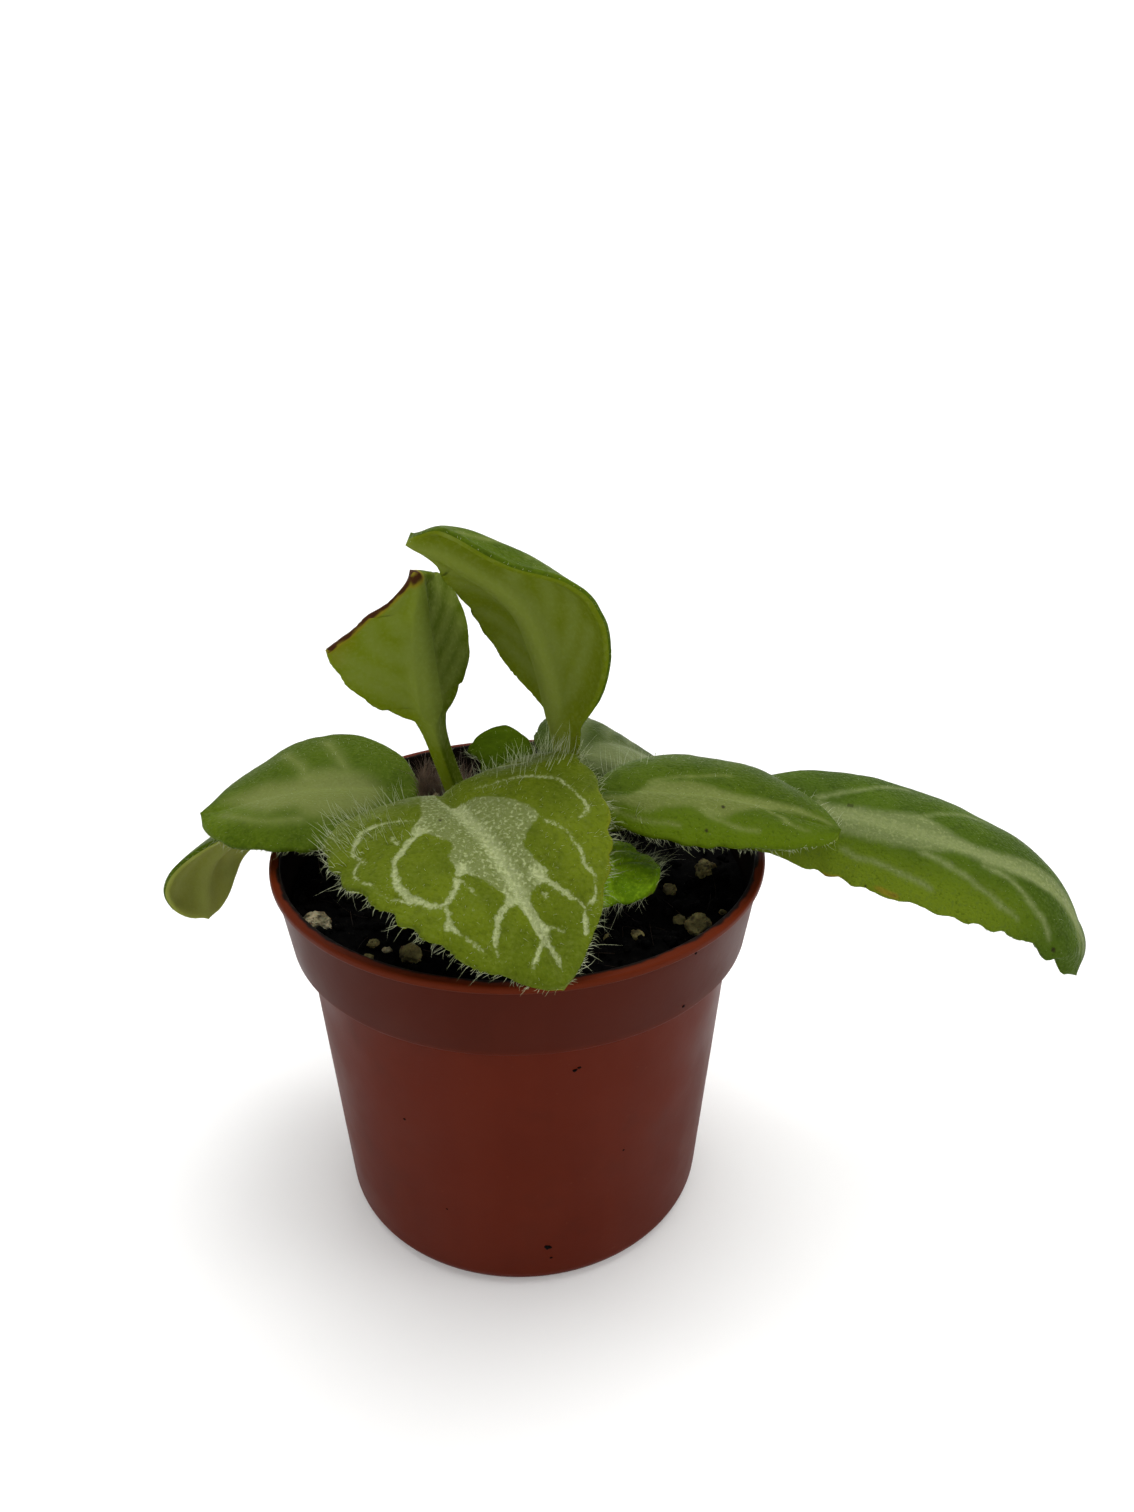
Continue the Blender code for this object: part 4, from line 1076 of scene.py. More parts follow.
# %% Hairs as thin bent spikes
def hair_mesh(roots, ways, lengths, bends, radius, steps):
    """Points and faces of many hairs. Each bends from its way towards its bend as it goes."""
    count = len(roots)
    across_one = unit(np.cross(ways, np.where(abs(ways[:, 2:3]) < 0.9, [[0, 0, 1.0]], [[1.0, 0, 0]])))
    across_two = np.cross(ways, across_one)
    part = np.arange(steps) / steps
    middle = (roots[:, None] + ways[:, None] * (lengths[:, None] * part)[..., None]
              + bends[:, None] * (lengths[:, None] * part ** 2)[..., None])
    thin = radius[:, None] * (1 - 0.75 * part)
    rings = []
    for turn in (0, 2 * pi / 3, 4 * pi / 3):
        away = across_one * cos(turn) + across_two * sin(turn)
        rings.append(middle + away[:, None] * thin[..., None])
    body = np.stack(rings, axis=2).reshape(count, steps * 3, 3)
    tip = (roots + ways * lengths[:, None] + bends * lengths[:, None])[:, None]
    points = np.concatenate([body, tip], axis=1).reshape(-1, 3)
    pattern = [(0, 2, 1)]
    for step in range(steps - 1):
        base = step * 3
        pattern += [(base + side, base + (side + 1) % 3, base + 3 + (side + 1) % 3, base + 3 + side)
                    for side in range(3)]
    last = (steps - 1) * 3
    pattern += [(last + side, last + (side + 1) % 3, steps * 3) for side in range(3)]
    size = steps * 3 + 1
    faces = [tuple(base * size + corner for corner in face) for base in range(count) for face in pattern]
    return points, faces


def hair_finish(name, colour, other, specular=0.4):
    made, tree, shader = new_finish(name, Roughness=0.45, Specular_IOR_Level=specular, Subsurface_Weight=0.0)
    tint = blend(tree, ramp(tree, grain(tree, 1.2), 0.35, 0.65), colour, other)
    tree.links.new(tint, shader.inputs["Base Color"])
    return made


WHITE_HAIR = hair_finish("white hair", srgb(186, 192, 156), srgb(148, 156, 112))
BROWN_HAIR = hair_finish("brown hair", srgb(116, 96, 76), srgb(78, 62, 48))


@dataclass
class Coat:
    """How hairy one leaf is. Lengths in mm, counts in hairs."""

    fringe: int = 420  # hairs along each margin
    fringe_length: tuple = (0.5, 1.4)
    skin: int = 1400  # short hairs on the upper skin
    skin_length: tuple = (0.25, 0.7)
    under: int = 500
    stalk: int = 260
    stalk_length: tuple = (0.8, 2.0)
    curl: float = 0.5
    radius: float = 0.02
    tall: int = 0  # long upright hairs around the blade's foot


COATS = {
    "leaf_front": Coat(210, (0.35, 1.0), 800, (0.25, 0.55), 200, 260, (1.0, 2.4), 0.8, 0.027, 300),
    "leaf_left": Coat(130, (0.3, 0.8), 300, (0.15, 0.35), 150, 150, (0.8, 2.0), 0.5, 0.022),
    "leaf_low_left": Coat(60, (0.2, 0.45), 80, (0.1, 0.2), 100, 120, (0.7, 1.6), 0.4, 0.018),
    "leaf_upright_left": Coat(50, (0.12, 0.3), 100, (0.1, 0.2), 120, 130, (0.3, 0.8), 0.4, 0.016),
    "leaf_upright_right": Coat(50, (0.12, 0.3), 120, (0.1, 0.2), 120, 130, (0.3, 0.8), 0.4, 0.016),
    "leaf_right": Coat(160, (0.35, 0.9), 300, (0.15, 0.35), 150, 200, (0.9, 2.2), 0.6, 0.022, 30),
    "leaf_far_right": Coat(110, (0.2, 0.5), 260, (0.12, 0.28), 150, 260, (1.0, 2.6), 0.5, 0.018),
    "leaf_back": Coat(70, (0.4, 0.9), 40, (0.15, 0.3), 60, 80, (0.8, 1.8), 0.5, 0.018),
    "leaf_back_right": Coat(80, (0.4, 0.9), 60, (0.15, 0.3), 60, 80, (0.8, 1.8), 0.5, 0.018),
    "leaf_small": Coat(170, (0.5, 1.5), 260, (0.25, 0.6), 100, 160, (0.9, 2.0), 0.8, 0.024),
}


BOX_ALLOWANCE = 0.022


def keep_inside(roots, ways, lengths, bends):
    """Shortens hairs that would leave the model's box, grown by the little that it allows."""
    low, high = (np.array(corner) / MM for corner in cad_box)
    room = BOX_ALLOWANCE * (high - low)
    tips = roots + (ways + bends) * lengths[:, None]
    over = np.maximum(np.maximum(low - room - tips, tips - high - room), 0).max(axis=1)
    return np.maximum(lengths - over * 1.2, 0.15)


def grow_hairs(leaf, index):
    """The fringe, the skin's short hairs, those underneath and those of the stalk, as one piece."""
    coat = COATS[leaf.name]
    spine = Spine(leaf)
    draw = np.random.default_rng(100 + index)
    batches = []

    def batch(share, across, outward, upward, low, high, thick, steps, depth=0.0, long_share=0.0,
              straight=1.0):
        along = leaf.stalk + share * spine.blade
        root = leaf_surface(leaf, spine, along, across)
        normal = leaf_normal(leaf, spine, along, across)
        ahead, _, right = spine.frame(along)
        out = right * np.sign(across)[:, None]
        count = len(share)
        way = unit(out * outward[:, None] + normal * upward[:, None] + ahead * 0.25
                   + draw.normal(0, 0.22 * straight, (count, 3)))
        bend = (draw.normal(0, 1, (count, 3)) + ahead * 0.6) * coat.curl * 0.5 * straight
        length = draw.uniform(low, high, count) * np.where(draw.uniform(0, 1, count) < long_share, 2.5, 1.0)
        root = root + normal * depth
        length = keep_inside(root, way, length, bend)
        batches.append(hair_mesh(root, way, length, bend, np.full(count, thick), steps))

    def blade_places(count):
        """Places spread evenly over the blade's area."""
        share = draw.uniform(0.0, 1.0, count * 3)
        across = draw.uniform(-0.97, 0.97, count * 3)
        wide = half_width(leaf, spine, leaf.stalk + share * spine.blade, across) / max(leaf.half)
        chosen = draw.uniform(0, 1, count * 3) < wide
        return share[chosen][:count], across[chosen][:count]

    for side in (-1.0, 1.0):
        share = draw.uniform(0.0, 0.995, coat.fringe)
        lean = draw.uniform(-0.35, 0.75, coat.fringe)
        batch(share, np.full(coat.fringe, side), np.ones(coat.fringe), lean, *coat.fringe_length,
              coat.radius, 5, -0.35, 0.09)
    share = draw.uniform(0.0, 0.32, coat.tall)
    across = draw.choice([-1.0, 1.0], coat.tall) * (1 - 0.6 * draw.uniform(0, 1, coat.tall) ** 2)
    batch(share, across, np.full(coat.tall, 0.2), np.ones(coat.tall), 1.5, 3.4,
          coat.radius * 1.15, 6, -0.1, 0.0, 0.45)
    share, across = blade_places(coat.skin)
    near_margin = abs(across) ** 3
    batch(share, across, 0.3 + near_margin, 1.0 - 0.5 * near_margin, *coat.skin_length, coat.radius * 0.6, 3)
    share, across = blade_places(coat.under)
    batch(share, across, np.full(len(share), 0.3), np.full(len(share), -1.0), *coat.skin_length,
          coat.radius * 0.6, 3, -BLADE_THICKNESS * 0.9)
    share = -draw.uniform(0.02, 0.85, coat.stalk) * leaf.stalk / spine.blade
    turn = draw.uniform(0, 2 * pi, coat.stalk)
    batch(share, 0.98 * np.cos(turn), np.abs(np.cos(turn)), np.sin(turn), *coat.stalk_length,
          coat.radius, 5, -0.6)
    points = np.concatenate([batch[0] for batch in batches])
    faces, base = [], 0
    for some, some_faces in batches:
        faces += [tuple(base + corner for corner in face) for face in some_faces]
        base += len(some)
    return make_piece(leaf.name + "_hairs", points, faces, [WHITE_HAIR])


total = 0
for index, leaf in enumerate(LEAVES):
    hairs = grow_hairs(leaf, index)
    total += triangles(hairs)
print("hair triangles:", total)

# %% [markdown]
# ## The pot
#
# The pot is injection moulded in thin terracotta-coloured plastic: a plain tapered body, a wider collar
# with a sharp step under it, and a small lip that stiffens the rim. Such a pot is a turned shape, so
# its section is drawn once and turned by the Screw modifier. Eight drain holes are cut by a Boolean.

# %% The pot's section
POT_HEIGHT = 49.4
RIM_RADIUS = 30.0
LIP_HEIGHT = 0.9
LIP_ROUND = 0.35
WALL = 0.8
INNER_STEP_RISE = 0.6
COLLAR_HEIGHT = 10.1
COLLAR_TOP_RADIUS = 29.5
COLLAR_FOOT_RADIUS = 28.2
STEP_DROP = 1.0
BODY_TOP_RADIUS = 26.4
BODY_FOOT_RADIUS = 23.7
FOOT_ROUND = 2.3
FLOOR = 1.2
DRAIN_HOLES = 8
DRAIN_RADIUS = 2.4
DRAIN_CIRCLE = 15.5
POT_SIDES = 192
PEG_LENGTH = 6
LIP_UNDERCUT = 0.2
CORNER_ROUND = 0.22
SHARP_ANGLE = 50


def arc(radius, height, size, start, end, steps=6):
    """Points of a round corner in a section, with angles in degrees from the outward radius."""
    angles = [radians(start + (end - start) * step / steps) for step in range(steps + 1)]
    return [(radius + size * cos(angle), height + size * sin(angle)) for angle in angles]


def eased(points, size, steps=3):
    """Rounds every inner corner of a section by cutting it back and bending through it."""
    made = [points[0]]
    for before, corner, after in zip(points, points[1:], points[2:]):
        before, corner, after = (np.array(point, float) for point in (before, corner, after))
        cut = min(size, np.linalg.norm(before - corner) * 0.45, np.linalg.norm(after - corner) * 0.45)
        start = corner + (before - corner) / max(np.linalg.norm(before - corner), 1e-6) * cut
        end = corner + (after - corner) / max(np.linalg.norm(after - corner), 1e-6) * cut
        for step in range(steps + 1):
            t = step / steps
            made.append(tuple((1 - t) ** 2 * start + 2 * t * (1 - t) * corner + t ** 2 * end))
    return made + [points[-1]]


step_top = POT_HEIGHT - COLLAR_HEIGHT
step_foot = step_top - STEP_DROP
inner_section = [
    (0.0, FLOOR), (BODY_FOOT_RADIUS - FOOT_ROUND, FLOOR), (BODY_FOOT_RADIUS - WALL, FOOT_ROUND),
    (BODY_TOP_RADIUS - WALL, step_foot + INNER_STEP_RISE),
    (COLLAR_FOOT_RADIUS - WALL, step_top + INNER_STEP_RISE), (COLLAR_TOP_RADIUS - WALL, POT_HEIGHT),
]
lip_section = arc(RIM_RADIUS - LIP_ROUND, POT_HEIGHT - LIP_ROUND, LIP_ROUND, 90, 0)
outer_section = [
    (RIM_RADIUS, POT_HEIGHT - LIP_HEIGHT), (COLLAR_TOP_RADIUS, POT_HEIGHT - LIP_HEIGHT - LIP_UNDERCUT),
    (COLLAR_FOOT_RADIUS, step_top), (BODY_TOP_RADIUS, step_foot),
]
foot_section = arc(BODY_FOOT_RADIUS - FOOT_ROUND, FOOT_ROUND, FOOT_ROUND, 0, -90, 8) + [(0.0, 0.0)]
pot_section = eased(inner_section + lip_section + outer_section + foot_section, CORNER_ROUND)
pot = turned("nursery_pot", pot_section, POT_SIDES)
print("points in the pot's section:", len(pot_section))


# %% [markdown]
# ## Drain holes and plastic
#
# Water leaves a nursery pot through holes in its base. They don't show in the photograph, so eight
# round ones follow pots of the kind. They could be modelled into the base, but pegs and one Boolean
# are easier to change. The plastic is dull and cloudy, and the collar is coloured darker. The wall's
# inside is painted nearly black, as shade. Noise of several sizes draws that, so it needs no picture.

# %% Drain holes and the plastic
def drain_cutters():
    """Eight pegs in a collection of their own, for the Boolean."""
    made = bpy.data.collections.new("drain holes")
    bpy.context.scene.collection.children.link(made)
    for index in range(DRAIN_HOLES):
        bm = bmesh.new()
        bmesh.ops.create_cone(
            bm, cap_ends=True, segments=32, radius1=DRAIN_RADIUS * MM, radius2=DRAIN_RADIUS * MM,
            depth=PEG_LENGTH * MM,
        )
        mesh = bpy.data.meshes.new("drain hole")
        bm.to_mesh(mesh)
        bm.free()
        peg = bpy.data.objects.new(f"drain_hole_{index + 1}", mesh)
        angle = 2 * pi * index / DRAIN_HOLES
        peg.location = Vector((DRAIN_CIRCLE * cos(angle), DRAIN_CIRCLE * sin(angle), 0)) * MM
        made.objects.link(peg)
    return made


pegs = drain_cutters()
drill = pot.modifiers.new("drain holes", "BOOLEAN")
drill.operand_type = "COLLECTION"
drill.collection = pegs
settled(pot)
for peg in list(pegs.objects):
    bpy.data.objects.remove(peg)
bpy.data.collections.remove(pegs)
pot.data.shade_smooth()
pot.data.set_sharp_from_angle(angle=radians(SHARP_ANGLE))

plastic, tree, shader = new_finish("terracotta plastic", Specular_IOR_Level=0.035, Coat_Weight=0.0, IOR=1.5)
height = node(tree, "SeparateXYZ", {0: node(tree, "TexCoord").outputs["Object"]}).outputs[2]
cloudy = ramp(tree, grain(tree, 14.0, 3.0, 0.55), 0.3, 0.7)
colour = blend(tree, cloudy, srgb(79, 24, 8), srgb(73, 21, 6))
smudge = ramp(tree, grain(tree, 5.0, 4.0, 0.6), 0.55, 0.78, 0.0, 0.30)
colour = blend(tree, smudge, colour, srgb(52, 19, 9))
dust = ramp(tree, grain(tree, 0.35, 2.0), 0.70, 0.80, 0.0, 0.25)
colour = blend(tree, dust, colour, srgb(96, 52, 38))
mould_flow = grain(tree, 3.0, 2.0, 0.5, (1, 1, 0.15))
colour = blend(tree, ramp(tree, mould_flow, 0.35, 0.65, 0.0, 0.15), colour, srgb(88, 32, 14))
collar_tone = ramp(tree, height, (step_top - 0.4) * MM, (step_top + 0.8) * MM, 0.0, 0.55)
colour = blend(tree, collar_tone, colour, srgb(48, 14, 4))
lip_tone = ramp(tree, height, (POT_HEIGHT - 1.1) * MM, (POT_HEIGHT - 0.6) * MM, 0.0, 0.7)
colour = blend(tree, lip_tone, colour, srgb(87, 30, 6))
# Painted shade: the wall's inside is darkened nearly to black up to the lip, and so is the lip's inner edge
place = node(tree, "TexCoord").outputs["Object"]
outward = node(tree, "Mapping", {"Vector": place, "Scale": (1, 1, 0)}).outputs[0]
facing = {0: node(tree, "TexCoord").outputs["Normal"], 1: outward}
facing = node(tree, "VectorMath", facing, operation="DOT_PRODUCT").outputs["Value"]
inside_wall = ramp(tree, facing, -3 * MM, -9 * MM)
uneven = sums(tree, sums(tree, grain(tree, 1.5, 3.0), -0.5), 1.2 * MM, "MULTIPLY")
inner_lip = ramp(tree, sums(tree, flat_radius(tree), uneven), 29.3 * MM, 28.9 * MM)
near_top = ramp(tree, height, (POT_HEIGHT - 0.7) * MM, (POT_HEIGHT - 0.4) * MM)
inner_lip = sums(tree, inner_lip, near_top, "MULTIPLY")
painted_inner_shade = sums(tree, inside_wall, inner_lip, "MAXIMUM")
colour = blend(tree, painted_inner_shade, colour, srgb(14, 8, 6))
tree.links.new(colour, shader.inputs["Base Color"])
tree.links.new(ramp(tree, grain(tree, 6.0, 3.0), 0.3, 0.7, 0.36, 0.48), shader.inputs["Roughness"])
relief(tree, shader, grain(tree, 0.5, 3.0, 0.6), 0.012)
pot.data.materials.clear()
pot.data.materials.append(plastic)
join_plant(pot, ["pot"])
print("pot triangles:", triangles(pot))

# %% [markdown]
# ## The potting mix
#
# Peat mix is nearly black when damp: crumbs, short fibres and a few pale grains. Its colours here are
# darker still, as painted shade. The surface is a disc of fine rings pushed up and down by noise of several
# sizes. Loose crumbs and fibres are then laid on it as meshes of their own, because bumps alone look flat
# from the side.

# %% The mix's surface
SOIL_LEVEL = 44.3
SOIL_ROUGHNESS = 0.9
SOIL_TOP_RADIUS = 27.7
SOIL_GAP = 0.3
CROWN_X = -3.0
CROWN_Y = 1.4
SOIL_SIDES = 220
SOIL_RINGS = 88
HILL_HEIGHT = 0.8
HILL_WIDTH = 9.5
EDGE_RUN = 3.0


def soil_height(x, y):
    """The height of the mix, lumpy, and a little higher around the crown, as on the solid model."""
    wide = noise.fractal(Vector((x / 4.0, y / 4.0, 3.7)), 1.0, 2.0, 3)
    hill = HILL_HEIGHT * np.exp(-((x - CROWN_X) ** 2 + (y - CROWN_Y) ** 2) / HILL_WIDTH ** 2)
    edge = min(1.0, max(0.0, (SOIL_TOP_RADIUS - (x * x + y * y) ** 0.5) / EDGE_RUN))
    return SOIL_LEVEL + hill + SOIL_ROUGHNESS * wide * (0.3 + 0.7 * edge)


def crumbly(x, y):
    """Smaller crumbs on top of that."""
    fine = noise.fractal(Vector((x / 1.1, y / 1.1, 8.2)), 0.8, 2.2, 4)
    chunk = noise.noise(Vector((x / 2.0, y / 2.0, 1.3)))
    return 0.42 * fine + 0.35 * max(0.0, chunk)


mix, tree, shader = new_finish("damp peat mix", Specular_IOR_Level=0.05, Roughness=0.95)
# Damp peat is dark, and these colours are darker still: painted shade on the mix
colour = blend(tree, ramp(tree, grain(tree, 0.6, 4.0, 0.65), 0.40, 0.72), srgb(2, 2, 2), srgb(9, 8, 7))
colour = blend(tree, ramp(tree, grain(tree, 0.3, 2.0), 0.72, 0.80), colour, srgb(40, 34, 25))
tree.links.new(colour, shader.inputs["Base Color"])
relief(tree, shader, grain(tree, 0.25, 4.0, 0.7), 0.25)

ring_radii = SOIL_TOP_RADIUS * np.linspace(0, 1, SOIL_RINGS + 1)[1:]
turns = np.linspace(0, 2 * pi, SOIL_SIDES, endpoint=False)
points = [(0.0, 0.0, soil_height(0, 0))]
for radius in ring_radii:
    for turn in turns:
        x, y = radius * cos(turn), radius * sin(turn)
        points.append((x, y, soil_height(x, y) + crumbly(x, y)))
side_section = [
    (COLLAR_FOOT_RADIUS - WALL - SOIL_GAP, step_top + INNER_STEP_RISE + SOIL_GAP),
    (BODY_TOP_RADIUS - WALL - SOIL_GAP, step_foot + INNER_STEP_RISE),
    (BODY_FOOT_RADIUS - WALL - SOIL_GAP, FOOT_ROUND + SOIL_GAP),
    (BODY_FOOT_RADIUS - FOOT_ROUND - SOIL_GAP, FLOOR + SOIL_GAP),
]
for radius, height in side_section:
    points += [(radius * cos(turn), radius * sin(turn), height) for turn in turns]
faces = [(0, 1 + side, 1 + (side + 1) % SOIL_SIDES) for side in range(SOIL_SIDES)]
for ring in range(SOIL_RINGS + len(side_section) - 1):
    base = 1 + ring * SOIL_SIDES
    faces += [(base + side, base + SOIL_SIDES + side, base + SOIL_SIDES + (side + 1) % SOIL_SIDES,
               base + (side + 1) % SOIL_SIDES) for side in range(SOIL_SIDES)]
last = 1 + (SOIL_RINGS + len(side_section) - 1) * SOIL_SIDES
faces.append(tuple(range(last, last + SOIL_SIDES))[::-1])
soil = make_piece("potting_mix", points, faces, [mix], ["soil"])
print("mix triangles:", triangles(soil))


# %% [markdown]
# ## What lies loose on the mix
#
# Lumps of peat and short fibres lie loose on the real mix. A particle system could scatter them. A
# plain loop with a fixed seed is used instead, because each lump then sits at the mix's own height
# and all of them are one mesh that can be exported.

# %% Loose crumbs and fibres
CRUMBS = 900
FIBRES = 160


def pebble(size, seed, detail, rough=0.35, flat=0.75):
    """An angular lump in mm around the origin, as points and faces."""
    bm = bmesh.new()
    bmesh.ops.create_icosphere(bm, subdivisions=detail, radius=0.5)
    points = []
    for vert in bm.verts:
        shift = Vector((seed * 1.7, seed * 3.1, 5.0))
        swell = (1 + rough * noise.noise(vert.co * 2.3 + shift)
                 + rough * 0.5 * noise.noise(vert.co * 6.0 + shift))
        points.append((vert.co.x * swell * size, vert.co.y * 0.85 * swell * size,
                       vert.co.z * flat * swell * size))
    faces = [tuple(vert.index for vert in face.verts) for face in bm.faces]
    bm.free()
    return np.array(points), faces


def scattered(draw, count, reach=0.97):
    """Places on the mix, spread evenly over the disc."""
    radius = SOIL_TOP_RADIUS * reach * np.sqrt(draw.uniform(0, 1, count))
    turn = draw.uniform(0, 2 * pi, count)
    return radius * np.cos(turn), radius * np.sin(turn)


def lay_crumbs(count):
    draw = np.random.default_rng(7)
    xs, ys = scattered(draw, count)
    points, faces, base = [], [], 0
    for index, (x, y) in enumerate(zip(xs, ys)):
        size = 0.5 + 1.3 * draw.uniform() ** 2
        lump, lump_faces = pebble(size, index * 0.37, 1, 0.5)
        around = Matrix.Rotation(draw.uniform(0, 6.28), 3, "Z")
        tilt = Matrix.Rotation(draw.uniform(-0.6, 0.6), 3, "X")
        turn = np.array(around @ tilt)
        points.append(lump @ turn.T + (x, y, soil_height(x, y) + 0.3 + 0.1 * size))
        faces += [tuple(base + corner for corner in face) for face in lump_faces]
        base += len(lump)
    return make_piece("loose_crumbs", np.concatenate(points), faces, [mix])


def lay_fibres(count):
    draw = np.random.default_rng(8)
    xs, ys = scattered(draw, count, 0.9)
    roots = np.array([(x, y, soil_height(x, y) + 0.5) for x, y in zip(xs, ys)])
    turn = draw.uniform(0, 2 * pi, count)
    ways = unit(np.stack([np.cos(turn), np.sin(turn), draw.uniform(-0.1, 0.35, count)], axis=1))
    bends = draw.normal(0, 0.3, (count, 3)) - [0, 0, 0.12]
    lengths = draw.uniform(1.5, 5.0, count)
    reach = np.hypot(*(roots + (ways + bends) * lengths[:, None])[:, :2].T)
    lengths = np.where(reach > SOIL_TOP_RADIUS - 0.5, 0.8, lengths)
    points, faces = hair_mesh(roots, ways, lengths, bends, draw.uniform(0.04, 0.10, count), 5)
    fibre = hair_finish("peat fibre", srgb(40, 28, 18), srgb(16, 12, 9), 0.1)
    return make_piece("peat_fibres", points, faces, [fibre])


print("crumb triangles:", triangles(lay_crumbs(CRUMBS)), "fibre triangles:", triangles(lay_fibres(FIBRES)))

# %% [markdown]
# ## Perlite
#
# Perlite is volcanic glass puffed up by heat: light, off-white, full of tiny pits. Each grain keeps the
# place of its solid. A finely divided ball is swollen by coarse noise for the chipped outline and
# dented by small noise for the pits.

# %% Perlite grains
# Place from above and size, in mm
PERLITE = [
    (-22.9, -11.5, 3.6), (-15.9, -18.8, 1.6), (-15.9, -15.3, 1.4), (-14.0, -17.2, 1.1), (-11.2, -18.6, 3.0),
    (10.6, -14.2, 1.2), (13.9, -14.6, 1.5), (19.1, -10.6, 1.7), (20.9, -12.6, 3.4), (24.3, -8.8, 0.9),
    (18.4, -4.5, 1.8), (23.3, 0.6, 3.0), (8.0, 20.6, 2.6), (-9.5, 21.0, 3.0), (-17.5, 14.8, 1.8),
]
# The two grains that the mix hasn't soiled, counted from 0
PALE_GRAINS = [0, 3]


def perlite_finish(name, pale, dim):
    """Puffed glass: chalky and pitted, more or less soiled by the mix."""
    made, tree, shader = new_finish(name, Specular_IOR_Level=0.2, Roughness=0.85, Subsurface_Weight=0.1,
                                    Subsurface_Scale=0.6 * MM)
    colour = blend(tree, ramp(tree, grain(tree, 0.8, 3.0), 0.35, 0.75), pale, dim)
    colour = blend(tree, ramp(tree, grain(tree, 0.5, 3.0), 0.50, 0.70, 0.0, 0.85), colour, srgb(34, 28, 18))
    tree.links.new(colour, shader.inputs["Base Color"])
    relief(tree, shader, ramp(tree, cells(tree, 0.35), 0.15, 0.55), 0.12)
    return made


clean_perlite = perlite_finish("puffed perlite", srgb(184, 174, 140), srgb(112, 104, 72))
soiled_perlite = perlite_finish("soiled perlite", srgb(122, 114, 70), srgb(78, 72, 40))

for index, (x, y, size) in enumerate(PERLITE):
    lump, faces = pebble(size, index, 4, 0.34)
    dents = np.array([max(0.0, noise.noise(Vector(point) * 2.6 + Vector((index, 2, 3)))) for point in lump])
    lump = lump * (1 - 0.35 * dents)[:, None]
    turn = np.array(Matrix.Rotation(index * 2.1, 3, "Z"))
    place = np.array((x, y, soil_height(x, y) + 0.12 * size + 0.25))
    name = f"perlite_{index + 1}"
    finish = clean_perlite if index in PALE_GRAINS else soiled_perlite
    make_piece(name + "_grain", lump @ turn.T + place, faces, [finish], [name])
print("perlite grains:", len(PERLITE))

# %% [markdown]
# ## The crown
#
# The crown is the short stem between the stalks, brown and shaggy, with a young folded leaf on
# its side. A voxel remesh of a copy of the solid gives a fine even skin to work on, with the sockets of
# the stalks already in it. That skin is wrinkled, and brown hairs are set on it.

# %% The crown's skin
SKIN_GRID = 0.28
bark, tree, shader = new_finish("crown skin", Specular_IOR_Level=0.3, Roughness=0.7)
colour = blend(tree, ramp(tree, grain(tree, 1.2, 3.0), 0.3, 0.7), srgb(116, 96, 70), srgb(84, 72, 48))
colour = blend(tree, ramp(tree, grain(tree, 0.4, 2.0), 0.55, 0.75, 0.0, 0.6), colour, srgb(110, 108, 62))
tree.links.new(colour, shader.inputs["Base Color"])
relief(tree, shader, grain(tree, 0.3, 3.0, 0.6), 0.12)

crown = bpy.data.objects.new("shaggy_crown", frame["nodes"]["crown"].data.copy())
bpy.context.scene.collection.objects.link(crown)
skin = crown.modifiers.new("even skin", "REMESH")
skin.mode = "VOXEL"
skin.voxel_size = SKIN_GRID * MM
settled(crown)
mesh = crown.data
co = np.empty(len(mesh.vertices) * 3, np.float32)
mesh.vertices.foreach_get("co", co)
co = co.reshape(-1, 3) / MM
facing = np.empty(len(mesh.vertices) * 3, np.float32)
mesh.vertex_normals.foreach_get("vector", facing)
facing = facing.reshape(-1, 3)
tall = co * (1.0, 1.0, 0.35)
co = co + facing * (0.30 * lumps(tall, 0.9, 2.0) + 0.12 * lumps(co, 0.5, 4.0) - 0.1)[:, None]
mesh.vertices.foreach_set("co", (co * MM).astype(np.float32).ravel())
mesh.materials.clear()
mesh.materials.append(bark)
mesh.shade_smooth()
mesh.update()
join_plant(crown, ["crown"])
print("crown triangles:", triangles(crown))

# %% [markdown]
# ## Hairs of the crown
#
# The real crown is shaggy with brown hairs. A particle system could grow them. The same bent spikes
# as on the leaves are used, because they stay in an exported model. They grow from points of the new
# skin that lie above the mix.

# %% Brown hairs of the crown
CROWN_HAIRS = 1500
CROWN_HAIR_RADIUS = 0.028
ABOVE_MIX = 45.5
draw = np.random.default_rng(31)
above = np.flatnonzero((co[:, 2] > ABOVE_MIX) & (facing[:, 2] > -0.3))
chosen = draw.choice(above, CROWN_HAIRS)
ways = unit(facing[chosen] + [0, 0, 0.5] + draw.normal(0, 0.3, (CROWN_HAIRS, 3)))
bends = draw.normal(0, 0.25, (CROWN_HAIRS, 3))
lengths = draw.uniform(0.6, 2.0, CROWN_HAIRS)
points, faces = hair_mesh(co[chosen], ways, lengths, bends, np.full(CROWN_HAIRS, CROWN_HAIR_RADIUS), 4)
crown_hairs = make_piece("crown_hairs", points, faces, [BROWN_HAIR])
print("crown hair triangles:", triangles(crown_hairs))

# %% [markdown]
# ## Wool
#
# Brown wool stands around the feet of the stalks. It could be a fuzzy finish on them, but that has no
# outline, so it is made of spikes as well, thicker ones. It is densest at leaf_left. The tangle of
# the real wool is only roughly followed.

# %% Wool at the feet of the stalks
WOOL_RADIUS = 0.045
WOOL_LENGTH = (1.4, 3.8)
# Leaf, hairs, and how far up the stalk they stand, in mm
WOOL = [("leaf_left", 900, 6.5), ("leaf_upright_left", 420, 5.0), ("leaf_low_left", 200, 6.0),
        ("leaf_upright_right", 160, 5.0), ("leaf_back_right", 140, 5.0)]


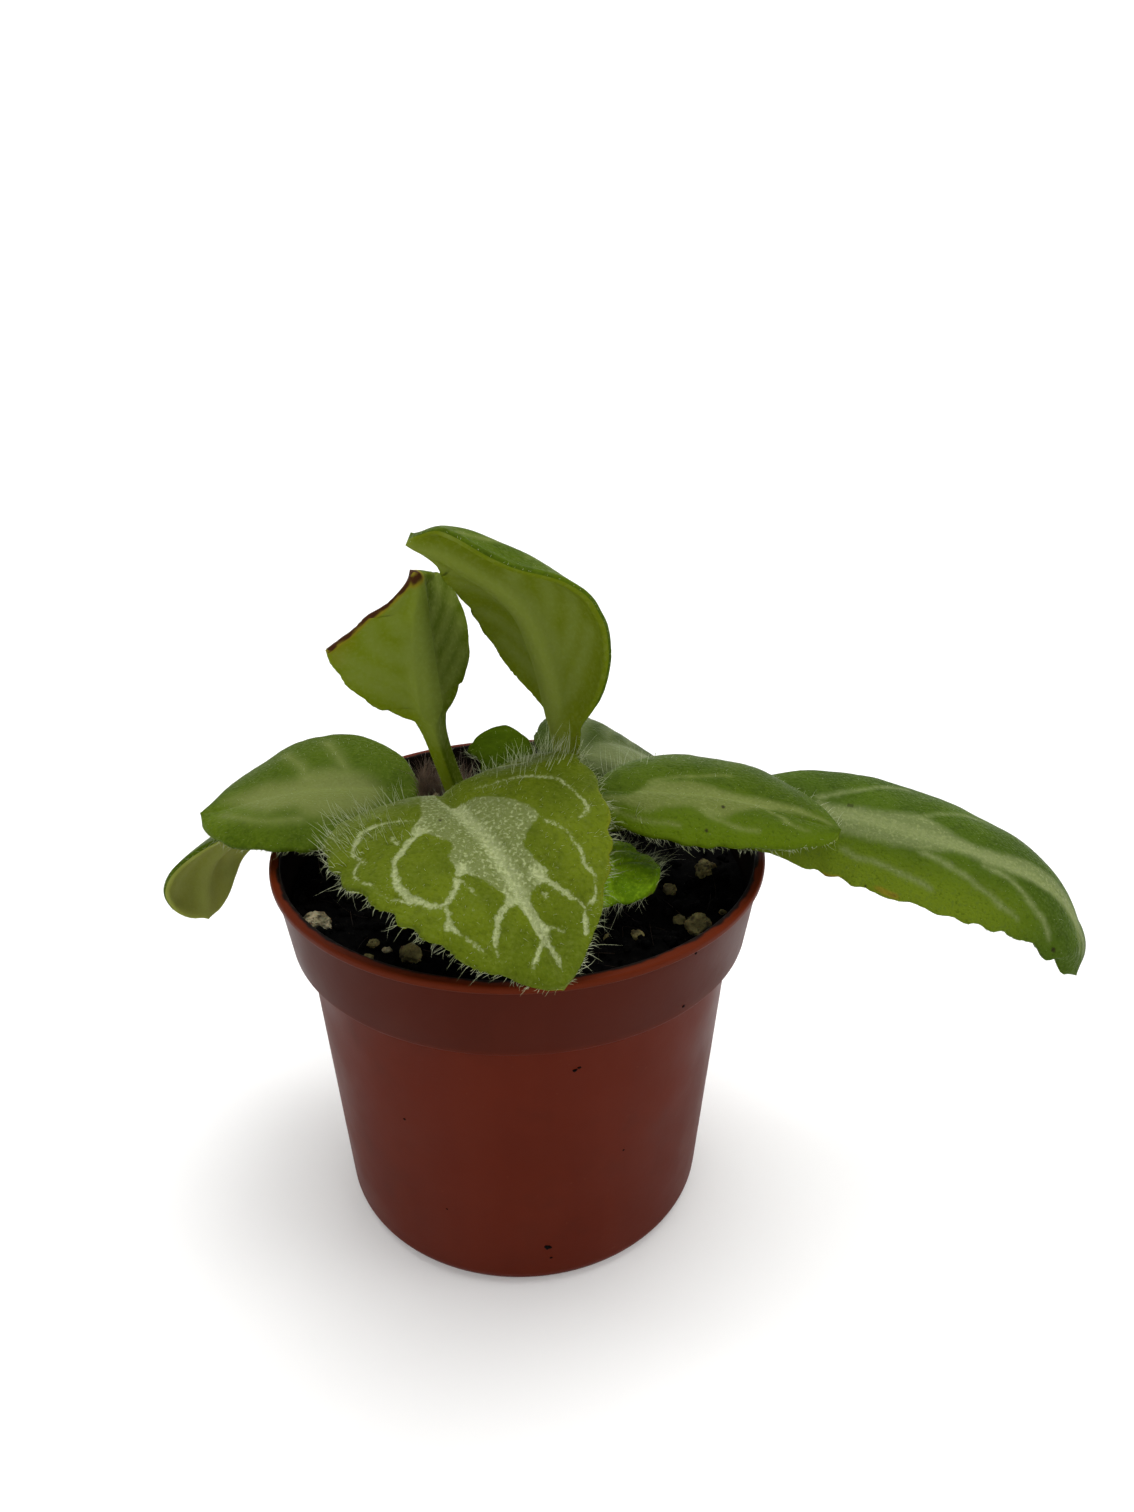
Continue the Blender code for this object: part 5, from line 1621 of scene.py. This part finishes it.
def grow_wool():
    """Brown wool around the feet of the stalks, which are about 3 mm thick there."""
    draw = np.random.default_rng(47)
    batches = []
    for name, count, reach in WOOL:
        leaf = next(leaf for leaf in LEAVES if leaf.name == name)
        spine = Spine(leaf)
        along = draw.uniform(1.5, reach, count)
        across = draw.uniform(-0.95, 0.95, count)
        root = leaf_surface(leaf, spine, along, across)
        normal = leaf_normal(leaf, spine, along, across)
        way = unit(normal * 0.6 + [0, 0, 0.9] + draw.normal(0, 0.25, (count, 3)))
        bend = draw.normal(0, 0.3, (count, 3))
        batches.append((root, way, draw.uniform(*WOOL_LENGTH, count), bend))
    root, way, length, bend = (np.concatenate(part) for part in zip(*batches))
    points, faces = hair_mesh(root, way, length, bend, np.full(len(root), WOOL_RADIUS), 5)
    return make_piece("brown_wool", points, faces, [BROWN_HAIR])


print("wool triangles:", triangles(grow_wool()))

# %% [markdown]
# ## Specks on the pot
#
# A pot from a bench is never clean. Specks of dried mix sit on its wall and rim, as small lumps
# pressed onto the plastic. Six follow marks in the photograph, and one a faint smear by the foot. The
# other seven are guesses: three at the back, one under the front leaf, and three on the front wall,
# where the photograph shows none. A noise in the plastic could draw them, but it would lie flat.

# %% Specks of mix
# Azimuth in degrees, height and size in mm
SPECKS = [
    (-81.3, 6.6, 0.9), (-80.4, 4.6, 0.4), (-74.9, 34.9, 0.6), (-73.9, 35.2, 0.4), (-48.3, 47.9, 0.5),
    (-48.9, 40.5, 0.45), (-97.4, 48.7, 0.4), (-83.7, 48.6, 0.35), (-120.0, 25.0, 0.35), (60.0, 30.0, 0.6),
    (150.0, 18.0, 0.5), (100.0, 42.0, 0.5), (-60.0, 20.0, 0.3), (-110.0, 12.0, 0.3),
]
wall_heights = [0.0, FOOT_ROUND, step_foot, step_top, POT_HEIGHT - LIP_HEIGHT, POT_HEIGHT]
wall_radii = [BODY_FOOT_RADIUS - FOOT_ROUND, BODY_FOOT_RADIUS, BODY_TOP_RADIUS, COLLAR_FOOT_RADIUS,
              COLLAR_TOP_RADIUS, RIM_RADIUS]
points, faces, base = [], [], 0
for index, (azimuth, height, size) in enumerate(SPECKS):
    lump, lump_faces = pebble(size, index * 1.3, 2, 0.6)
    radius = np.interp(height, wall_heights, wall_radii)
    turn = radians(azimuth)
    inward = np.array((cos(turn), sin(turn), 0.0))
    lump = lump - inward * (lump @ inward)[:, None] * 0.6
    points.append(lump + inward * radius + (0, 0, height))
    faces += [tuple(base + corner for corner in face) for face in lump_faces]
    base += len(lump)
make_piece("specks_of_mix", np.concatenate(points), faces, [mix])
print("specks:", len(SPECKS))
